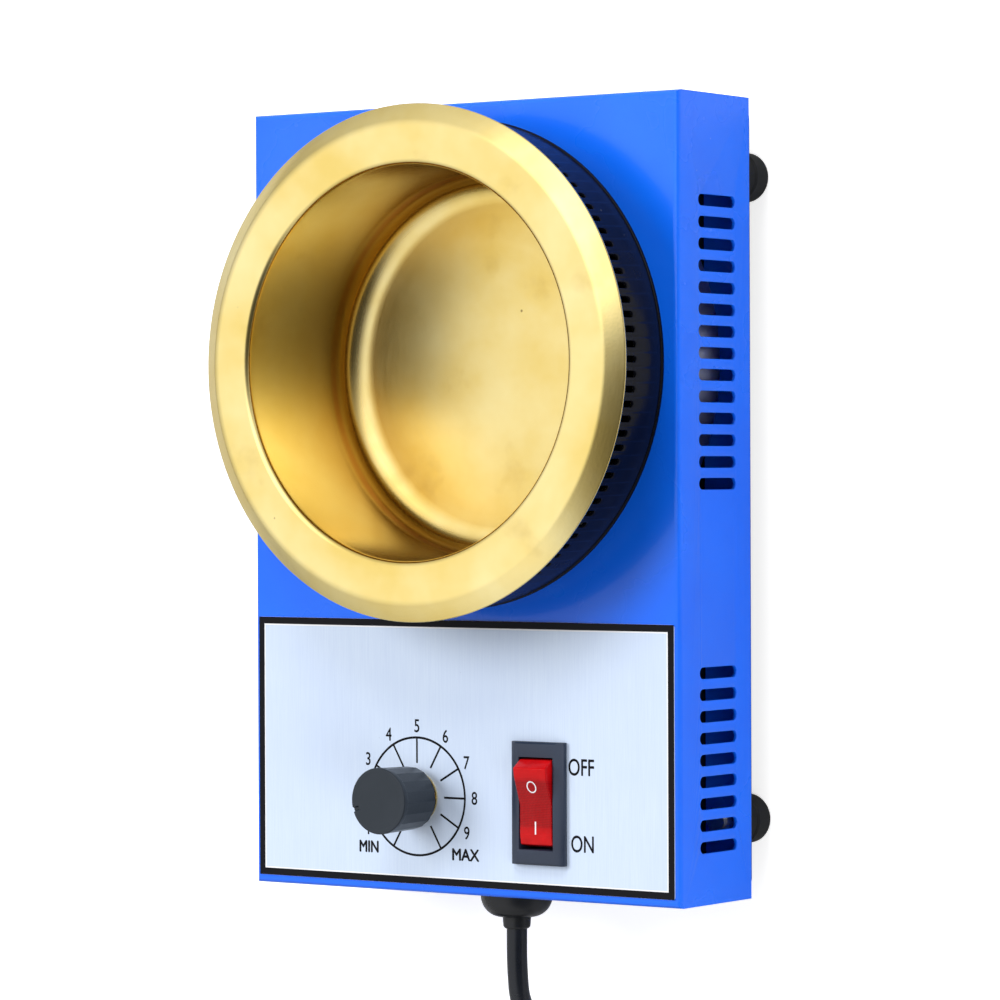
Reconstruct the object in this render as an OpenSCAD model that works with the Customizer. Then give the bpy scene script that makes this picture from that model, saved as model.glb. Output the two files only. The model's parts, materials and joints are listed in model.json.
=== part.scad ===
// Solder pot: a heated cup in a folded steel case, with a temperature dial and a lit switch.
// Millimetres. The origin is on the table, under the middle of the case. X runs to the right,
// Y to the rear, where the cup is, and Z up.

/* [Case] */
// Width of the cover
case_w = 134; // [124:1:150]
// Length of the cover
case_l = 203; // [185:1:230]
// Height of the cover, from its lower edge to its top face
case_h = 33; // [30:1:42]
// Thickness of the cover's sheet
sheet_t = 1; // [0.8:0.1:1.2]
// Outside radius of the cover's bends
bend_r = 1.5; // [1.3:0.1:2.5]
// Width of the lips that turn in under the cover's long sides
lip_w = 13; // [12:0.5:13]
// Width of the open seam at each upright corner
seam_w = 0.4; // [0.2:0.1:0.8]
// Thickness of the base plate
plate_t = 1; // [0.8:0.1:1.5]
// Step from the cover's ends in to the base plate's ends
plate_step = 3; // [1:0.5:6]

/* [Vents] */
// Width of a vent slot
vent_w = 2.9; // [2:0.1:4]
// Length of a vent slot
vent_len = 17; // [10:1:20]
// Distance from one vent slot to the next
vent_pitch = 5.45; // [4.5:0.05:5.8]
// Depth of the slots' middle below the top face
vent_drop = 17.8; // [15:0.1:18]
// Slots in a side's rear group
rear_vents = 14; // [2:1:14]
// Slots in a side's front group
front_vents = 9; // [2:1:10]
// From the case's rear face to the middle of the rear group
rear_vent_inset = 62.3; // [55:0.1:66]
// From the case's front face to the middle of the front group
front_vent_inset = 36.2; // [32:0.1:40]
// Slots in each group in the base plate
base_vents = 5; // [1:1:6]
// Length of a slot in the base plate
base_vent_len = 20; // [8:1:20]
// From the case's side to the middle of a base group
base_vent_inset = 26; // [25:0.5:28]

/* [Feet] */
// Diameter of a rubber foot
foot_d = 13; // [12:0.5:13]
// Height of a rubber foot
foot_h = 10; // [8:0.5:14]
// From the case's side to a foot's middle
foot_inset_x = 7; // [6.6:0.1:7.4]
// From the case's end to a foot's middle
foot_inset_y = 19.5; // [12:0.5:24]
// Diameter of the screw that holds a foot
foot_screw_d = 4; // [3:0.5:4]

/* [Cup] */
// From the case's sides and its rear face in to the rim's edge
rim_inset = 1.5; // [1:0.1:3]
// Width of the rim, from the cup's mouth to its outer edge
flange_w = 15.5; // [15:0.1:18]
// Depth of the cup, from its rim to its floor
cup_depth = 44; // [36:1:44]
// Thickness of the cup's sheet
cup_t = 1.2; // [1:0.1:1.2]
// Narrowing of the cup's radius towards its floor
cup_draft = 0.5; // [0.1:0.1:1]
// Inside radius where the cup's wall meets its floor
cup_corner_r = 5; // [3:0.5:8]
// Radius of the lip where the rim turns down into the cup
lip_r = 1.8; // [1.5:0.1:3]
// Width of the sloping band round the rim, seen from above
rim_slope_w = 5.2; // [4:0.1:6]
// Fall of the sloping band
rim_slope_drop = 3.2; // [2:0.1:4]
// Height of the rim over the case's top face
rim_rise = 24.5; // [20:0.5:30]

/* [Guard ring] */
// Step from the rim's edge in to the ring under it
ring_inset = 3; // [2.5:0.1:3.5]
// Thickness of the ring's sheet
ring_t = 1; // [0.8:0.1:1.2]
// Cooling slots round the ring
ring_slots = 106; // [24:2:120]
// Width of a cooling slot
ring_slot_w = 1.7; // [1:0.1:2]
// Height of the slots' lower ends over the case's top face
ring_slot_rise = 12; // [6:0.5:14]
// Length of a cooling slot
ring_slot_len = 7; // [3:0.5:7.5]
// From the ring's outside in to the edge of the opening in the case
throat_inset = 7; // [6.9:0.05:7.1]
// From the ring's outside in to its screws
ring_screw_inset = 4.2; // [4.1:0.05:4.3]
// Diameter of the ring's screws
ring_screw_d = 3; // [2.5:0.5:3]

/* [Heater] */
// Thickness of the band heater
band_t = 3; // [2:0.1:3]
// Width of the band heater
band_w = 24; // [12:1:26]
// Gap between the band's ends
band_gap = 8; // [5:0.5:10]
// Thickness of the insulation disc under the cup
disc_t = 4.5; // [3:0.5:4.5]
// Thickness of the heat shield's sheet
shield_t = 0.8; // [0.6:0.1:1]
// Step from the ring's outside in to the heat shield's inside
shield_inset = 1; // [0.8:0.1:1.2]
// Diameter of the stud under the cup
stud_d = 6; // [5:0.5:6]

/* [Panel] */
// From the case's sides to the label's edges
label_side_inset = 1.5; // [1.5:0.1:6]
// From the guard ring to the label's rear edge
label_ring_gap = 3.1; // [1:0.1:8]
// Thickness of the control label
label_t = 0.3; // [0.2:0.1:0.5]
// From the case's front face to the label's front edge
label_inset = 2.2; // [1.5:0.1:3]
// From the case's front face to the centre line of dial and switch
control_inset = 24.6; // [23:0.1:27]

/* [Dial] */
// Place of the dial, right of the case's middle
dial_x = -13.7; // [-18:0.1:-10]
// Width of the faceted knob over its corners at the foot
knob_d = 16.2; // [14:0.1:17]
// Diameter of the knob's flat cap
knob_cap_d = 17; // [16:0.1:20]
// Height of the knob
knob_h = 14; // [11:0.5:18]
// Facets round the knob
knob_sides = 18; // [13:1:24]
// Diameter of the dial's shaft
shaft_d = 6; // [5:0.5:6]
// Thread diameter of the dial's bushing
bushing_d = 7.5; // [7.2:0.1:8]
// Diameter of the dial's body
dial_body_d = 16.4; // [15:0.1:18]

/* [Switch] */
// Place of the switch, right of the case's middle
switch_x = 25.1; // [22:0.1:30]
// Width of the switch's bezel
bezel_w = 16.2; // [15.5:0.1:18]
// Length of the switch's bezel
bezel_l = 31.2; // [30.5:0.1:34]
// Height of the bezel over the label
bezel_h = 2.3; // [1.8:0.1:3]
// Width of the window that the rocker fills
window_w = 10.4; // [9.8:0.1:10.8]
// Length of the window that the rocker fills
window_l = 23.4; // [23:0.1:24]
// Clearance between the rocker and the window
rocker_gap = 0.25; // [0.2:0.05:0.4]
// Angle that the rocker swings through
rocker_swing = 20; // [14:1:22]

/* [Cord] */
// Diameter of the mains cord
cord_d = 5.4; // [5:0.1:6]
// Place of the cord's outlet, right of the case's middle
outlet_x = 5.8; // [-10:0.1:10]
// Depth of the outlet's centre below the top face
outlet_drop = 16.5; // [14:0.1:18]
// Diameter of the grommet's dome
dome_d = 18.7; // [16:0.1:20]
// Depth of the grommet's dome
dome_h = 6.5; // [4:0.1:8]

/* [Hidden] */
$fn = 96;
feet = ["foot_front_left", "foot_front_right", "foot_rear_left", "foot_rear_right"];

eps = 0.01;                       // overrun of a cut past a face
seat = 0.15;                      // clearance of a piece that rests in another
slide = 0.05;                     // radial clearance of a shaft or a screw shank

// levels, from the table up
z_plate = foot_h;                 // underside of the base plate
z_cover = z_plate + plate_t;      // lower edge of the cover
z_top = z_cover + case_h;         // top face of the case
z_skin = z_top - sheet_t;         // underside of the case's top sheet
z_label = z_top + label_t;        // face of the control label
z_rim = z_top + rim_rise;         // flat of the cup's rim
z_floor = z_rim - cup_depth;      // cup's floor, inside
z_under = z_floor - cup_t;        // cup's floor, outside
z_vent = z_top - vent_drop;
z_outlet = z_top - outlet_drop;

rear = case_l / 2;
front = -case_l / 2;
side = case_w / 2;
rim_r = side - rim_inset;
cup_y = rear - rim_inset - rim_r;
ring_r = rim_r - ring_inset;
mouth_r = rim_r - flange_w;
throat_r = ring_r - throat_inset;
shield_r = ring_r - shield_inset;
label_w = case_w - 2 * label_side_inset;
label_l = cup_y - ring_r - label_ring_gap - front - label_inset;
control_y = front + control_inset;
foot_x = side - foot_inset_x;
foot_y = rear - foot_inset_y;

// Points of an arc of radius r round [x, y], from angle a to angle b
function arc(x, y, r, a, b, n = 8) =
    [for (i = [0:n]) [x + r * cos(a + (b - a) * i / n), y + r * sin(a + (b - a) * i / n)]];

module at_cup(z = 0) { translate([0, cup_y, z]) children(); }
module at_dial(z = 0) { translate([dial_x, control_y, z]) children(); }
module at_switch(z = 0) { translate([switch_x, control_y, z]) children(); }
module at_feet() {
    for (sx = [-1, 1], sy = [-1, 1]) translate([sx * foot_x, sy * foot_y, 0]) children();
}
module at_ring_screws(z = 0) {
    for (a = [45:90:315]) at_cup(z) rotate(a) translate([ring_r - ring_screw_inset, 0, 0]) children();
}

// A block with its centre on the Z axis, standing on z = 0
module block(w, l, h) { translate([-w / 2, -l / 2, 0]) cube([w, l, h]); }
// A round bar with a bore through it
module tube(d, bore, h) {
    difference() {
        cylinder(d = d, h = h);
        translate([0, 0, -eps]) cylinder(d = bore, h = h + 2 * eps);
    }
}
// A flat slot with round ends, long in X
module stadium(l, w) {
    square([l - w, w], center = true);
    for (s = [-1, 1]) translate([s * (l - w) / 2, 0]) circle(d = w);
}
// A rectangle with round corners
module rounded(w, l, r) {
    square([w - 2 * r, l], center = true);
    square([w, l - 2 * r], center = true);
    for (sx = [-1, 1], sy = [-1, 1]) translate([sx * (w / 2 - r), sy * (l / 2 - r)]) circle(r);
}
// A pan head with its shank below it, the head's underside at z = 0
module pan_screw(d, len, head_d, head_h) {
    translate([0, 0, -len]) cylinder(d = d, h = len);
    difference() {
        rotate_extrude() polygon(concat([[0, 0], [head_d / 2, 0]],
            arc(head_d / 2 - head_h * 0.6, head_h * 0.4, head_h * 0.6, 0, 90, 4), [[0, head_h]]));
        for (a = [0, 90]) rotate(a) translate([0, 0, head_h * 0.75])
            block(head_d * 0.55, head_d * 0.14, head_h);
    }
}
// A hexagon nut, its lower face at z = 0
module hex_nut(flats, bore, h) {
    difference() {
        cylinder(d = flats / cos(30), h = h, $fn = 6);
        translate([0, 0, -eps]) cylinder(d = bore, h = h + 2 * eps);
    }
}

// A tube of eight sides swept along points: every ring stands square to the path there
function unit(v) = v / norm(v);
function heading(pts, i) = unit(pts[min(i + 1, len(pts) - 1)] - pts[max(i - 1, 0)]);
function level(t) = abs(t[2]) > 0.95 ? [1, 0, 0] : unit([-t[1], t[0], 0]);
// The first side direction, carried from ring to ring so that the tube doesn't twist
function carry(side_dir, t) = unit(side_dir - t * (side_dir * t));
function sides_along(pts, i = 0, prev = undef, out = []) =
    i == len(pts) ? out :
    let (t = heading(pts, i), s = carry(prev == undef ? level(t) : prev, t))
    sides_along(pts, i + 1, s, concat(out, [s]));
module swept(pts, d, n = 8) {
    dirs = sides_along(pts);
    rings = [for (i = [0:len(pts) - 1], k = [0:n - 1])
        let (t = heading(pts, i), u = dirs[i], v = cross(t, u))
        pts[i] + d / 2 * (u * cos(360 * k / n) + v * sin(360 * k / n))];
    walls = [for (i = [0:len(pts) - 2], k = [0:n - 1])
        [i * n + k, (i + 1) * n + k, (i + 1) * n + (k + 1) % n, i * n + (k + 1) % n]];
    polyhedron(rings, concat([[for (k = [0:n - 1]) k]], walls,
        [[for (k = [n - 1:-1:0]) (len(pts) - 1) * n + k]]));
}

// ---- case ----

// A block whose top edges are bent at radius r and whose upright corners are square
module folded_block(w, l, z0, z1, r) {
    module end_profile(span) {
        translate([-span / 2, z0]) square([span, z1 - z0 - r]);
        translate([-span / 2 + r, z0]) square([span - 2 * r, z1 - z0]);
        for (s = [-1, 1]) translate([s * (span / 2 - r), z1 - r]) circle(r);
    }
    intersection() {
        rotate([90, 0, 0]) linear_extrude(l + 20, center = true) end_profile(w);
        rotate([90, 0, 90]) linear_extrude(w + 20, center = true) end_profile(l);
    }
}

module vent_group(y, count) {
    for (i = [0:count - 1])
        translate([0, y + (i - (count - 1) / 2) * vent_pitch, z_vent])
            rotate([0, 90, 0]) linear_extrude(case_w + 2, center = true) stadium(vent_len, vent_w);
}

module top_shell() {
    color([0.30, 0.55, 1])
    difference() {
        union() {
            difference() {
                folded_block(case_w, case_l, z_cover, z_top, bend_r);
                folded_block(case_w - 2 * sheet_t, case_l - 2 * sheet_t, z_cover - 1, z_skin,
                    bend_r - sheet_t);
            }
            for (s = [-1, 1]) translate([s * (side - lip_w / 2), 0, z_cover])
                block(lip_w, case_l - 2 * lip_w / 3, sheet_t);
        }
        for (sx = [-1, 1], sy = [-1, 1])
            translate([sx * (side - sheet_t - seam_w / 2), sy * rear, z_cover - eps])
                block(seam_w, 3 * sheet_t, case_h - bend_r);
        vent_group(rear - rear_vent_inset, rear_vents);
        vent_group(front + front_vent_inset, front_vents);
        at_cup(z_skin - 1) cylinder(r = throat_r, h = sheet_t + 2, $fn = 180);
        at_ring_screws(z_skin - 1) cylinder(d = ring_screw_d + 2 * slide, h = sheet_t + 2);
        at_dial(z_skin - 1) cylinder(d = bushing_d + 2 * slide, h = sheet_t + 2);
        at_switch(z_skin - 1) block(housing_w + 2 * seat, housing_l + 2 * seat, sheet_t + 2);
        at_outlet(-2 * sheet_t) cylinder(d = groove_d + 2 * slide, h = 4 * sheet_t);
        at_feet() translate([0, 0, z_cover - eps]) cylinder(d = foot_screw_d + 2 * slide, h = sheet_t + 1);
    }
}

module base_plate() {
    vent_y = [for (i = [0:base_vents - 1]) control_y + (i - (base_vents - 1) / 2) * vent_pitch];
    color([0.20, 0.22, 0.26])
    difference() {
        translate([0, 0, z_plate]) linear_extrude(plate_t) rounded(case_w - 1, case_l - 2 * plate_step, 2);
        for (s = [-1, 1], y = vent_y) translate([s * (side - base_vent_inset), y, z_plate - 1])
            linear_extrude(plate_t + 2) stadium(base_vent_len, vent_w);
        at_feet() translate([0, 0, z_plate - 1]) cylinder(d = foot_screw_d + 2 * slide, h = plate_t + 2);
        at_board_corners(z_plate - 1) cylinder(d = board_screw_d + 2 * slide, h = plate_t + 2);
        at_earth(z_plate - 1) cylinder(d = board_screw_d + 2 * slide, h = plate_t + 2);
        at_cup(z_plate - 1) cylinder(d = washer_d, h = plate_t + 2);
    }
}

// ---- feet ----

foot_neck = 4;                    // height of the narrower upper part of a foot
foot_head_z = 4;                  // underside of the screw's head, inside the foot
foot_nut_h = 3.2;

module foot() {
    r = foot_d / 2;
    bore = foot_screw_d / 2 + slide;
    well = foot_screw_d + 0.2;
    color([0.13, 0.13, 0.14])
    rotate_extrude() polygon(concat(
        [[bore, foot_head_z], [bore, foot_h], [r - 0.5, foot_h], [r - 0.5, foot_h - foot_neck + 0.5],
         [r, foot_h - foot_neck]],
        arc(r - 1.1, 0.8, 0.8, 0, -90, 4), [[well, 0], [well, foot_head_z]]));
}

module foot_screws() {
    len = foot_h - foot_head_z + plate_t + sheet_t + foot_nut_h + 0.8;
    color([0.75, 0.75, 0.77]) at_feet() translate([0, 0, foot_head_z]) rotate([180, 0, 0])
        pan_screw(foot_screw_d, len, 2 * foot_screw_d - 0.2, 2.4);
}

module foot_nuts() {
    color([0.75, 0.75, 0.77]) at_feet() translate([0, 0, z_cover + sheet_t])
        hex_nut(7, foot_screw_d + 2 * slide, foot_nut_h);
}

// ---- cup and ring ----

crease_r = rim_r - rim_slope_w;   // where the rim's flat turns into the slope
cup_out_r = mouth_r + cup_t;      // outside of the cup's wall
slope = rim_slope_drop / rim_slope_w;
skin_drop = cup_t * sqrt(1 + slope * slope);   // vertical thickness of the sloping band

module crucible() {
    foot_r = mouth_r - cup_draft;
    inside = concat([[0, z_floor]],
        arc(foot_r - cup_corner_r, z_floor + cup_corner_r, cup_corner_r, -90, 0),
        arc(mouth_r + lip_r, z_rim - lip_r, lip_r, 180, 90),
        [[crease_r, z_rim], [rim_r, z_rim - rim_slope_drop]]);
    outside = concat([[rim_r - 0.3, z_rim - rim_slope_drop - cup_t],
                      [crease_r, z_rim - skin_drop]],
        arc(mouth_r + lip_r, z_rim - lip_r, lip_r - cup_t, 90, 180),
        arc(foot_r - cup_corner_r, z_floor + cup_corner_r, cup_corner_r + cup_t, 0, -90),
        [[0, z_under]]);
    color([0.93, 0.83, 0.55]) at_cup() rotate_extrude($fn = 180) polygon(concat(inside, outside));
}

ring_top = z_rim - (ring_r - crease_r) * slope - skin_drop - seat;   // just under the slope

module guard_ring() {
    color([0.07, 0.07, 0.09])
    difference() {
        at_cup(z_top) union() {
            tube(2 * ring_r, 2 * (ring_r - ring_t), ring_top - z_top, $fn = 180);
            tube(2 * ring_r - ring_t, 2 * (throat_r + seat), ring_t, $fn = 180);
        }
        for (i = [0:ring_slots - 1]) at_cup(z_top + ring_slot_rise + ring_slot_len / 2)
            rotate(360 * i / ring_slots) translate([ring_r, 0, 0]) rotate([0, 90, 0])
                linear_extrude(4 * ring_t, center = true) stadium(ring_slot_len, ring_slot_w, $fn = 16);
        at_ring_screws(z_top - 1) cylinder(d = ring_screw_d + 2 * slide, h = ring_t + 2);
    }
}

ring_nut_h = 2.4;

module ring_screws() {
    len = ring_t + sheet_t + shield_t + ring_nut_h + 0.5;
    color([0.75, 0.75, 0.77]) at_ring_screws(z_top + ring_t)
        pan_screw(ring_screw_d, len, ring_screw_d + 2.4, 2);
}

module ring_nuts() {
    color([0.75, 0.75, 0.77]) at_ring_screws(z_skin - shield_t - ring_nut_h)
        rotate(30) hex_nut(5.2, ring_screw_d + 2 * slide, ring_nut_h);
}

// ---- heater ----

band_r = cup_out_r + 0.3;         // inside of the band heater
band_out_r = band_r + band_t;
band_z = z_floor + cup_corner_r + 1;
ear_len = 5;                      // radial length of the band's clamping ears
ear_t = 1.6;
ear_z = band_z + 5;               // height of the clamping screw
z_pan = z_under - 2 * seat - disc_t;   // floor of the heat shield, inside
lead_z = band_z + 3;              // height of the heater's two posts
lead_gap = 5;                     // distance between the posts
wool_in = band_out_r + 0.4;
wool_out = shield_r - 0.3;
wool_top = z_skin - shield_t - ring_nut_h - 1;

module heater_band() {
    color([0.62, 0.60, 0.56])
    at_cup(band_z) {
        difference() {
            tube(2 * band_out_r, 2 * band_r, band_w, $fn = 180);
            translate([0, band_r, -eps]) block(band_gap, 4 * band_t, band_w + 2 * eps);
        }
        for (s = [-1, 1]) translate([s * (band_gap / 2 + ear_t / 2), band_r + (band_t + ear_len) / 2, 0])
            difference() {
                block(ear_t, band_t + ear_len, 10);
                translate([-ear_t, ear_len / 2, ear_z - band_z]) rotate([0, 90, 0])
                    cylinder(d = 3 + 2 * slide, h = 2 * ear_t);
            }
        for (s = [-1, 1]) translate([s * lead_gap / 2, -band_out_r + 0.4, lead_z - band_z])
            rotate([90, 0, 0]) cylinder(d = 2.6, h = 2.4);
    }
}

module band_screw() {
    color([0.75, 0.75, 0.77])
    at_cup(ear_z) translate([band_gap / 2 + ear_t, band_r + (band_t + ear_len) / 2 + ear_len / 2, 0])
        rotate([0, 90, 0]) union() {
            pan_screw(3, band_gap + 2 * ear_t + 3, 5.2, 1.8);
            translate([0, 0, -band_gap - 2 * ear_t - 2.4]) cylinder(d = 5.5 / cos(30), h = 2.4, $fn = 6);
        }
}

module insulation_ring() {
    color([0.92, 0.90, 0.84])
    at_cup(z_pan) difference() {
        tube(2 * wool_out, 2 * wool_in, wool_top - z_pan, $fn = 120);
        translate([0, band_out_r + 3, -eps]) block(band_gap + 24, 14, 60);
        translate([0, -wool_out, -eps]) block(lead_gap + 9, 2 * (wool_out - wool_in) + 2, 60);
    }
}

module insulation_disc() {
    color([0.92, 0.90, 0.84])
    at_cup(z_pan) tube(2 * (wool_in - 0.3), stud_d + 6, disc_t, $fn = 120);
}

bushing_flange_d = 11;            // ceramic bushing in the shield's front
bushing_bore = 7.4;

module heat_shield() {
    color([0.72, 0.73, 0.75])
    at_cup() difference() {
        translate([0, 0, z_pan - shield_t])
            cylinder(r = shield_r + shield_t, h = z_skin - z_pan + shield_t, $fn = 180);
        translate([0, 0, z_pan]) cylinder(r = shield_r, h = z_skin - shield_t - z_pan, $fn = 180);
        cylinder(r = throat_r, h = z_skin + 1, $fn = 180);
        translate([0, 0, z_pan - 2 * shield_t]) cylinder(d = stud_d + 2 * seat, h = 4 * shield_t);
        translate([0, -shield_r, lead_z]) rotate([90, 0, 0])
            cylinder(d = bushing_bore + 2 + 2 * slide, h = 8 * shield_t, center = true);
        translate([0, -cup_y, 0]) at_ring_screws(z_skin - 2) cylinder(d = ring_screw_d + 2 * slide, h = 4);
    }
}

module lead_bushing() {
    color([0.95, 0.94, 0.90])
    at_cup(lead_z) translate([0, -shield_r + 1.2, 0]) rotate([90, 0, 0]) difference() {
        union() {
            cylinder(d = bushing_bore + 2, h = 5.5);
            translate([0, 0, 2.2]) cylinder(d = bushing_flange_d, h = 1.5);
        }
        translate([0, 0, -eps]) cylinder(d = bushing_bore, h = 6);
    }
}

washer_d = 16;
washer_t = 1.2;
hold_nut_h = 3;
z_washer = z_pan - shield_t - washer_t;
z_stud = z_washer - hold_nut_h - 0.8;      // lower end of the stud

module hold_down_stud() {
    color([0.75, 0.75, 0.77])
    at_cup() rotate_extrude() polygon([[0, z_stud], [stud_d / 2, z_stud], [stud_d / 2, z_under - 1],
        [stud_d / 2 + 2, z_under - 1], [stud_d / 2 + 2, z_under], [0, z_under]]);
}

module hold_down_washer() {
    color([0.75, 0.75, 0.77]) at_cup(z_washer) tube(washer_d - 2, stud_d + 2 * slide, washer_t);
}

module hold_down_nut() {
    color([0.75, 0.75, 0.77]) at_cup(z_washer - hold_nut_h) hex_nut(10, stud_d + 2 * slide, hold_nut_h);
}

// ---- panel and dial ----

module panel_label() {
    color([0.84, 0.88, 0.96])
    difference() {
        translate([0, front + label_inset + label_l / 2, z_top])
            linear_extrude(label_t) rounded(label_w, label_l, 0.8);
        at_dial(z_top - 1) cylinder(d = bushing_d + 2 * slide, h = label_t + 2);
        at_switch(z_top - 1) block(housing_w + 2 * seat, housing_l + 2 * seat, label_t + 2);
    }
}

dial_washer_t = 0.5;
dial_nut_h = 2;
z_knob = z_label + dial_washer_t + dial_nut_h + 0.3;   // foot of the knob
cap_h = 1.6;                      // depth of the knob's flat cap
insert_d = 9;                     // brass sleeve moulded into the knob
insert_len = knob_h - 4;
dial_body_h = 8.5;
shaft_foot = z_skin - dial_body_h + 3;
knob_rest = 197;                  // direction that the pointer notch faces at rest

module knob() {
    color([0.10, 0.11, 0.13])
    at_dial(z_knob) rotate(knob_rest) difference() {
        union() {
            linear_extrude(knob_h - cap_h, scale = 1.04) circle(d = knob_d, $fn = knob_sides);
            translate([0, 0, knob_h - cap_h]) rotate_extrude() polygon(concat([[0, 0], [knob_cap_d / 2, 0]],
                arc(knob_cap_d / 2 - 0.5, cap_h - 0.5, 0.5, 0, 90, 4), [[0, cap_h]]));
        }
        translate([0, 0, -eps]) cylinder(d = insert_d, h = insert_len + 2 * eps);
        translate([knob_cap_d / 2, 0, knob_h - 0.6]) block(3, 0.9, 2);
    }
}

module knob_insert() {
    color([0.80, 0.66, 0.32])
    at_dial(z_knob) difference() {
        translate([0, 0, slide]) cylinder(d = insert_d - 2 * slide, h = insert_len - 2 * slide);
        translate([0, 0, -eps]) cylinder(d = shaft_d + 2 * slide, h = insert_len - 1);
    }
}

module dial_shaft() {
    color([0.78, 0.78, 0.80])
    at_dial(shaft_foot) difference() {
        cylinder(d = shaft_d, h = z_knob + insert_len - 1.5 - shaft_foot);
        translate([0, 0, z_knob + 2 - shaft_foot]) block(0.8, shaft_d + 1, knob_h);
    }
}

module dial_nut() {
    color([0.80, 0.66, 0.32])
    at_dial(z_label + dial_washer_t) hex_nut(11, bushing_d + 2 * slide, dial_nut_h);
}

module dial_washer() {
    color([0.80, 0.66, 0.32]) at_dial(z_label) tube(13, bushing_d + 2 * slide, dial_washer_t);
}

module dial_bushing() {
    color([0.80, 0.66, 0.32]) at_dial(z_skin) tube(bushing_d, shaft_d + 2 * slide, z_knob - 0.3 - z_skin);
}

module dial_body() {
    color([0.22, 0.30, 0.24])
    at_dial(z_skin - dial_body_h) difference() {
        union() {
            cylinder(d = dial_body_d, h = dial_body_h);
            for (i = [-1:1]) translate([5 * i, -dial_body_d / 2 - 1.5, 1]) block(1.8, 5, 0.8);
        }
        translate([0, 0, shaft_foot - z_skin + dial_body_h - 0.2])
            cylinder(d = shaft_d + 4 * slide, h = dial_body_h);
    }
}

// ---- circuit board ----

board_w = 54;
board_l = 46;
board_t = 1.6;
board_gap = 6;                    // height of the spacers
board_screw_d = 3;
z_board = z_cover + board_gap;    // underside of the board
z_parts = z_board + board_t;      // top of the board, where the components stand
board_side_gap = 3;               // from the cover's lip to the board
board_front_gap = 3;              // from the cover's front face to the board
board_x = -side + lip_w + board_side_gap + board_w / 2;
board_y = front + board_front_gap + board_l / 2;
corner_inset = 4;                 // from the board's edges to its screws
spacer_d = 6;

module at_board(x, y, z = 0) { translate([board_x + x, board_y + y, z]) children(); }
module at_board_corners(z = 0) {
    for (sx = [-1, 1], sy = [-1, 1])
        at_board(sx * (board_w / 2 - corner_inset), sy * (board_l / 2 - corner_inset), z) children();
}

module circuit_board() {
    color([0.75, 0.60, 0.33])
    difference() {
        at_board(0, 0, z_board) block(board_w, board_l, board_t);
        at_board_corners(z_board - 1) cylinder(d = board_screw_d + 2 * slide, h = board_t + 2);
    }
}

module board_spacers() {
    color([0.90, 0.90, 0.88])
    at_board_corners(z_cover) tube(spacer_d, board_screw_d + 2 * slide, board_gap);
}

module board_screws() {
    color([0.75, 0.75, 0.77]) at_board_corners(z_parts)
        pan_screw(board_screw_d, board_t + board_gap + plate_t, 1.8 * board_screw_d, 2);
}

sink = [20 - board_w / 2, board_l / 2 - 11];   // place of the heat sink on the board
sink_w = 24;
sink_l = 12;
sink_h = 19;
fin_pitch = 3.6;
fin_gap = 2.2;
sink_back = 2.5;                  // thickness of the sink's back, which the triac is clamped to

module heat_sink() {
    color([0.70, 0.71, 0.74])
    at_board(sink[0], sink[1], z_parts) difference() {
        block(sink_w, sink_l, sink_h);
        for (i = [-3:3]) translate([i * fin_pitch, sink_back, -eps])
            block(fin_gap, sink_l, sink_h + 1);
    }
}

module triac() {
    color([0.12, 0.12, 0.13])
    at_board(sink[0], sink[1] - sink_l / 2, z_parts) {
        translate([0, -0.65, 3]) block(10, 1.3, 15);
        translate([0, -2.9, 3]) block(10, 3.2, 9);
        for (i = [-1:1]) translate([2.54 * i, -2.4, 0]) block(0.9, 0.6, 3.2);
    }
}

module choke() {
    color([0.72, 0.40, 0.20])
    at_board(board_w / 2 - 14.5, board_l / 2 - 8, z_parts) rotate_extrude() polygon([[0, 0], [7, 0], [7, 1.5], [5.5, 2],
        [6, 3], [6, 11], [5.5, 12], [7, 12.5], [7, 14], [0, 14]]);
}

module capacitor() {
    color([0.85, 0.65, 0.15])
    at_board(12 - board_w / 2, 15 - board_l / 2, z_parts) linear_extrude(13) rounded(18, 8, 1);
}

block_pos = [board_w / 2 - 7, 18 - board_l / 2];   // place of the terminal block on the board
block_w = 9;
block_h = 10;
block_pitch = 5;                  // distance between its four ways
entry_z = 3;                      // height of the wire holes over the board

module terminal_block() {
    color([0.20, 0.50, 0.32])
    at_board(block_pos[0], block_pos[1], z_parts) difference() {
        block(block_w, 4 * block_pitch, block_h);
        for (i = [-1.5:1.5]) translate([0, block_pitch * i, block_h - 2]) cylinder(d = 3.2, h = 3);
        for (i = [-1.5:1.5]) translate([block_w / 2 - 1.5, block_pitch * i, entry_z])
            rotate([0, 90, 0]) cylinder(d = wire_d + 1, h = 3);
    }
}

// the earth screw, just inside the cover's right lip
earth_x = side - lip_w - 10;
earth_y = front + 34;

module at_earth(z = 0) { translate([earth_x, earth_y, z]) children(); }

module earth_screw() {
    color([0.80, 0.66, 0.32]) at_earth(z_cover) union() {
        translate([0, 0, 0.8]) pan_screw(board_screw_d, plate_t + 0.8, 6, 2);
        tube(7, board_screw_d - 0.5, 0.8);
    }
}

// ---- switch ----

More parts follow.
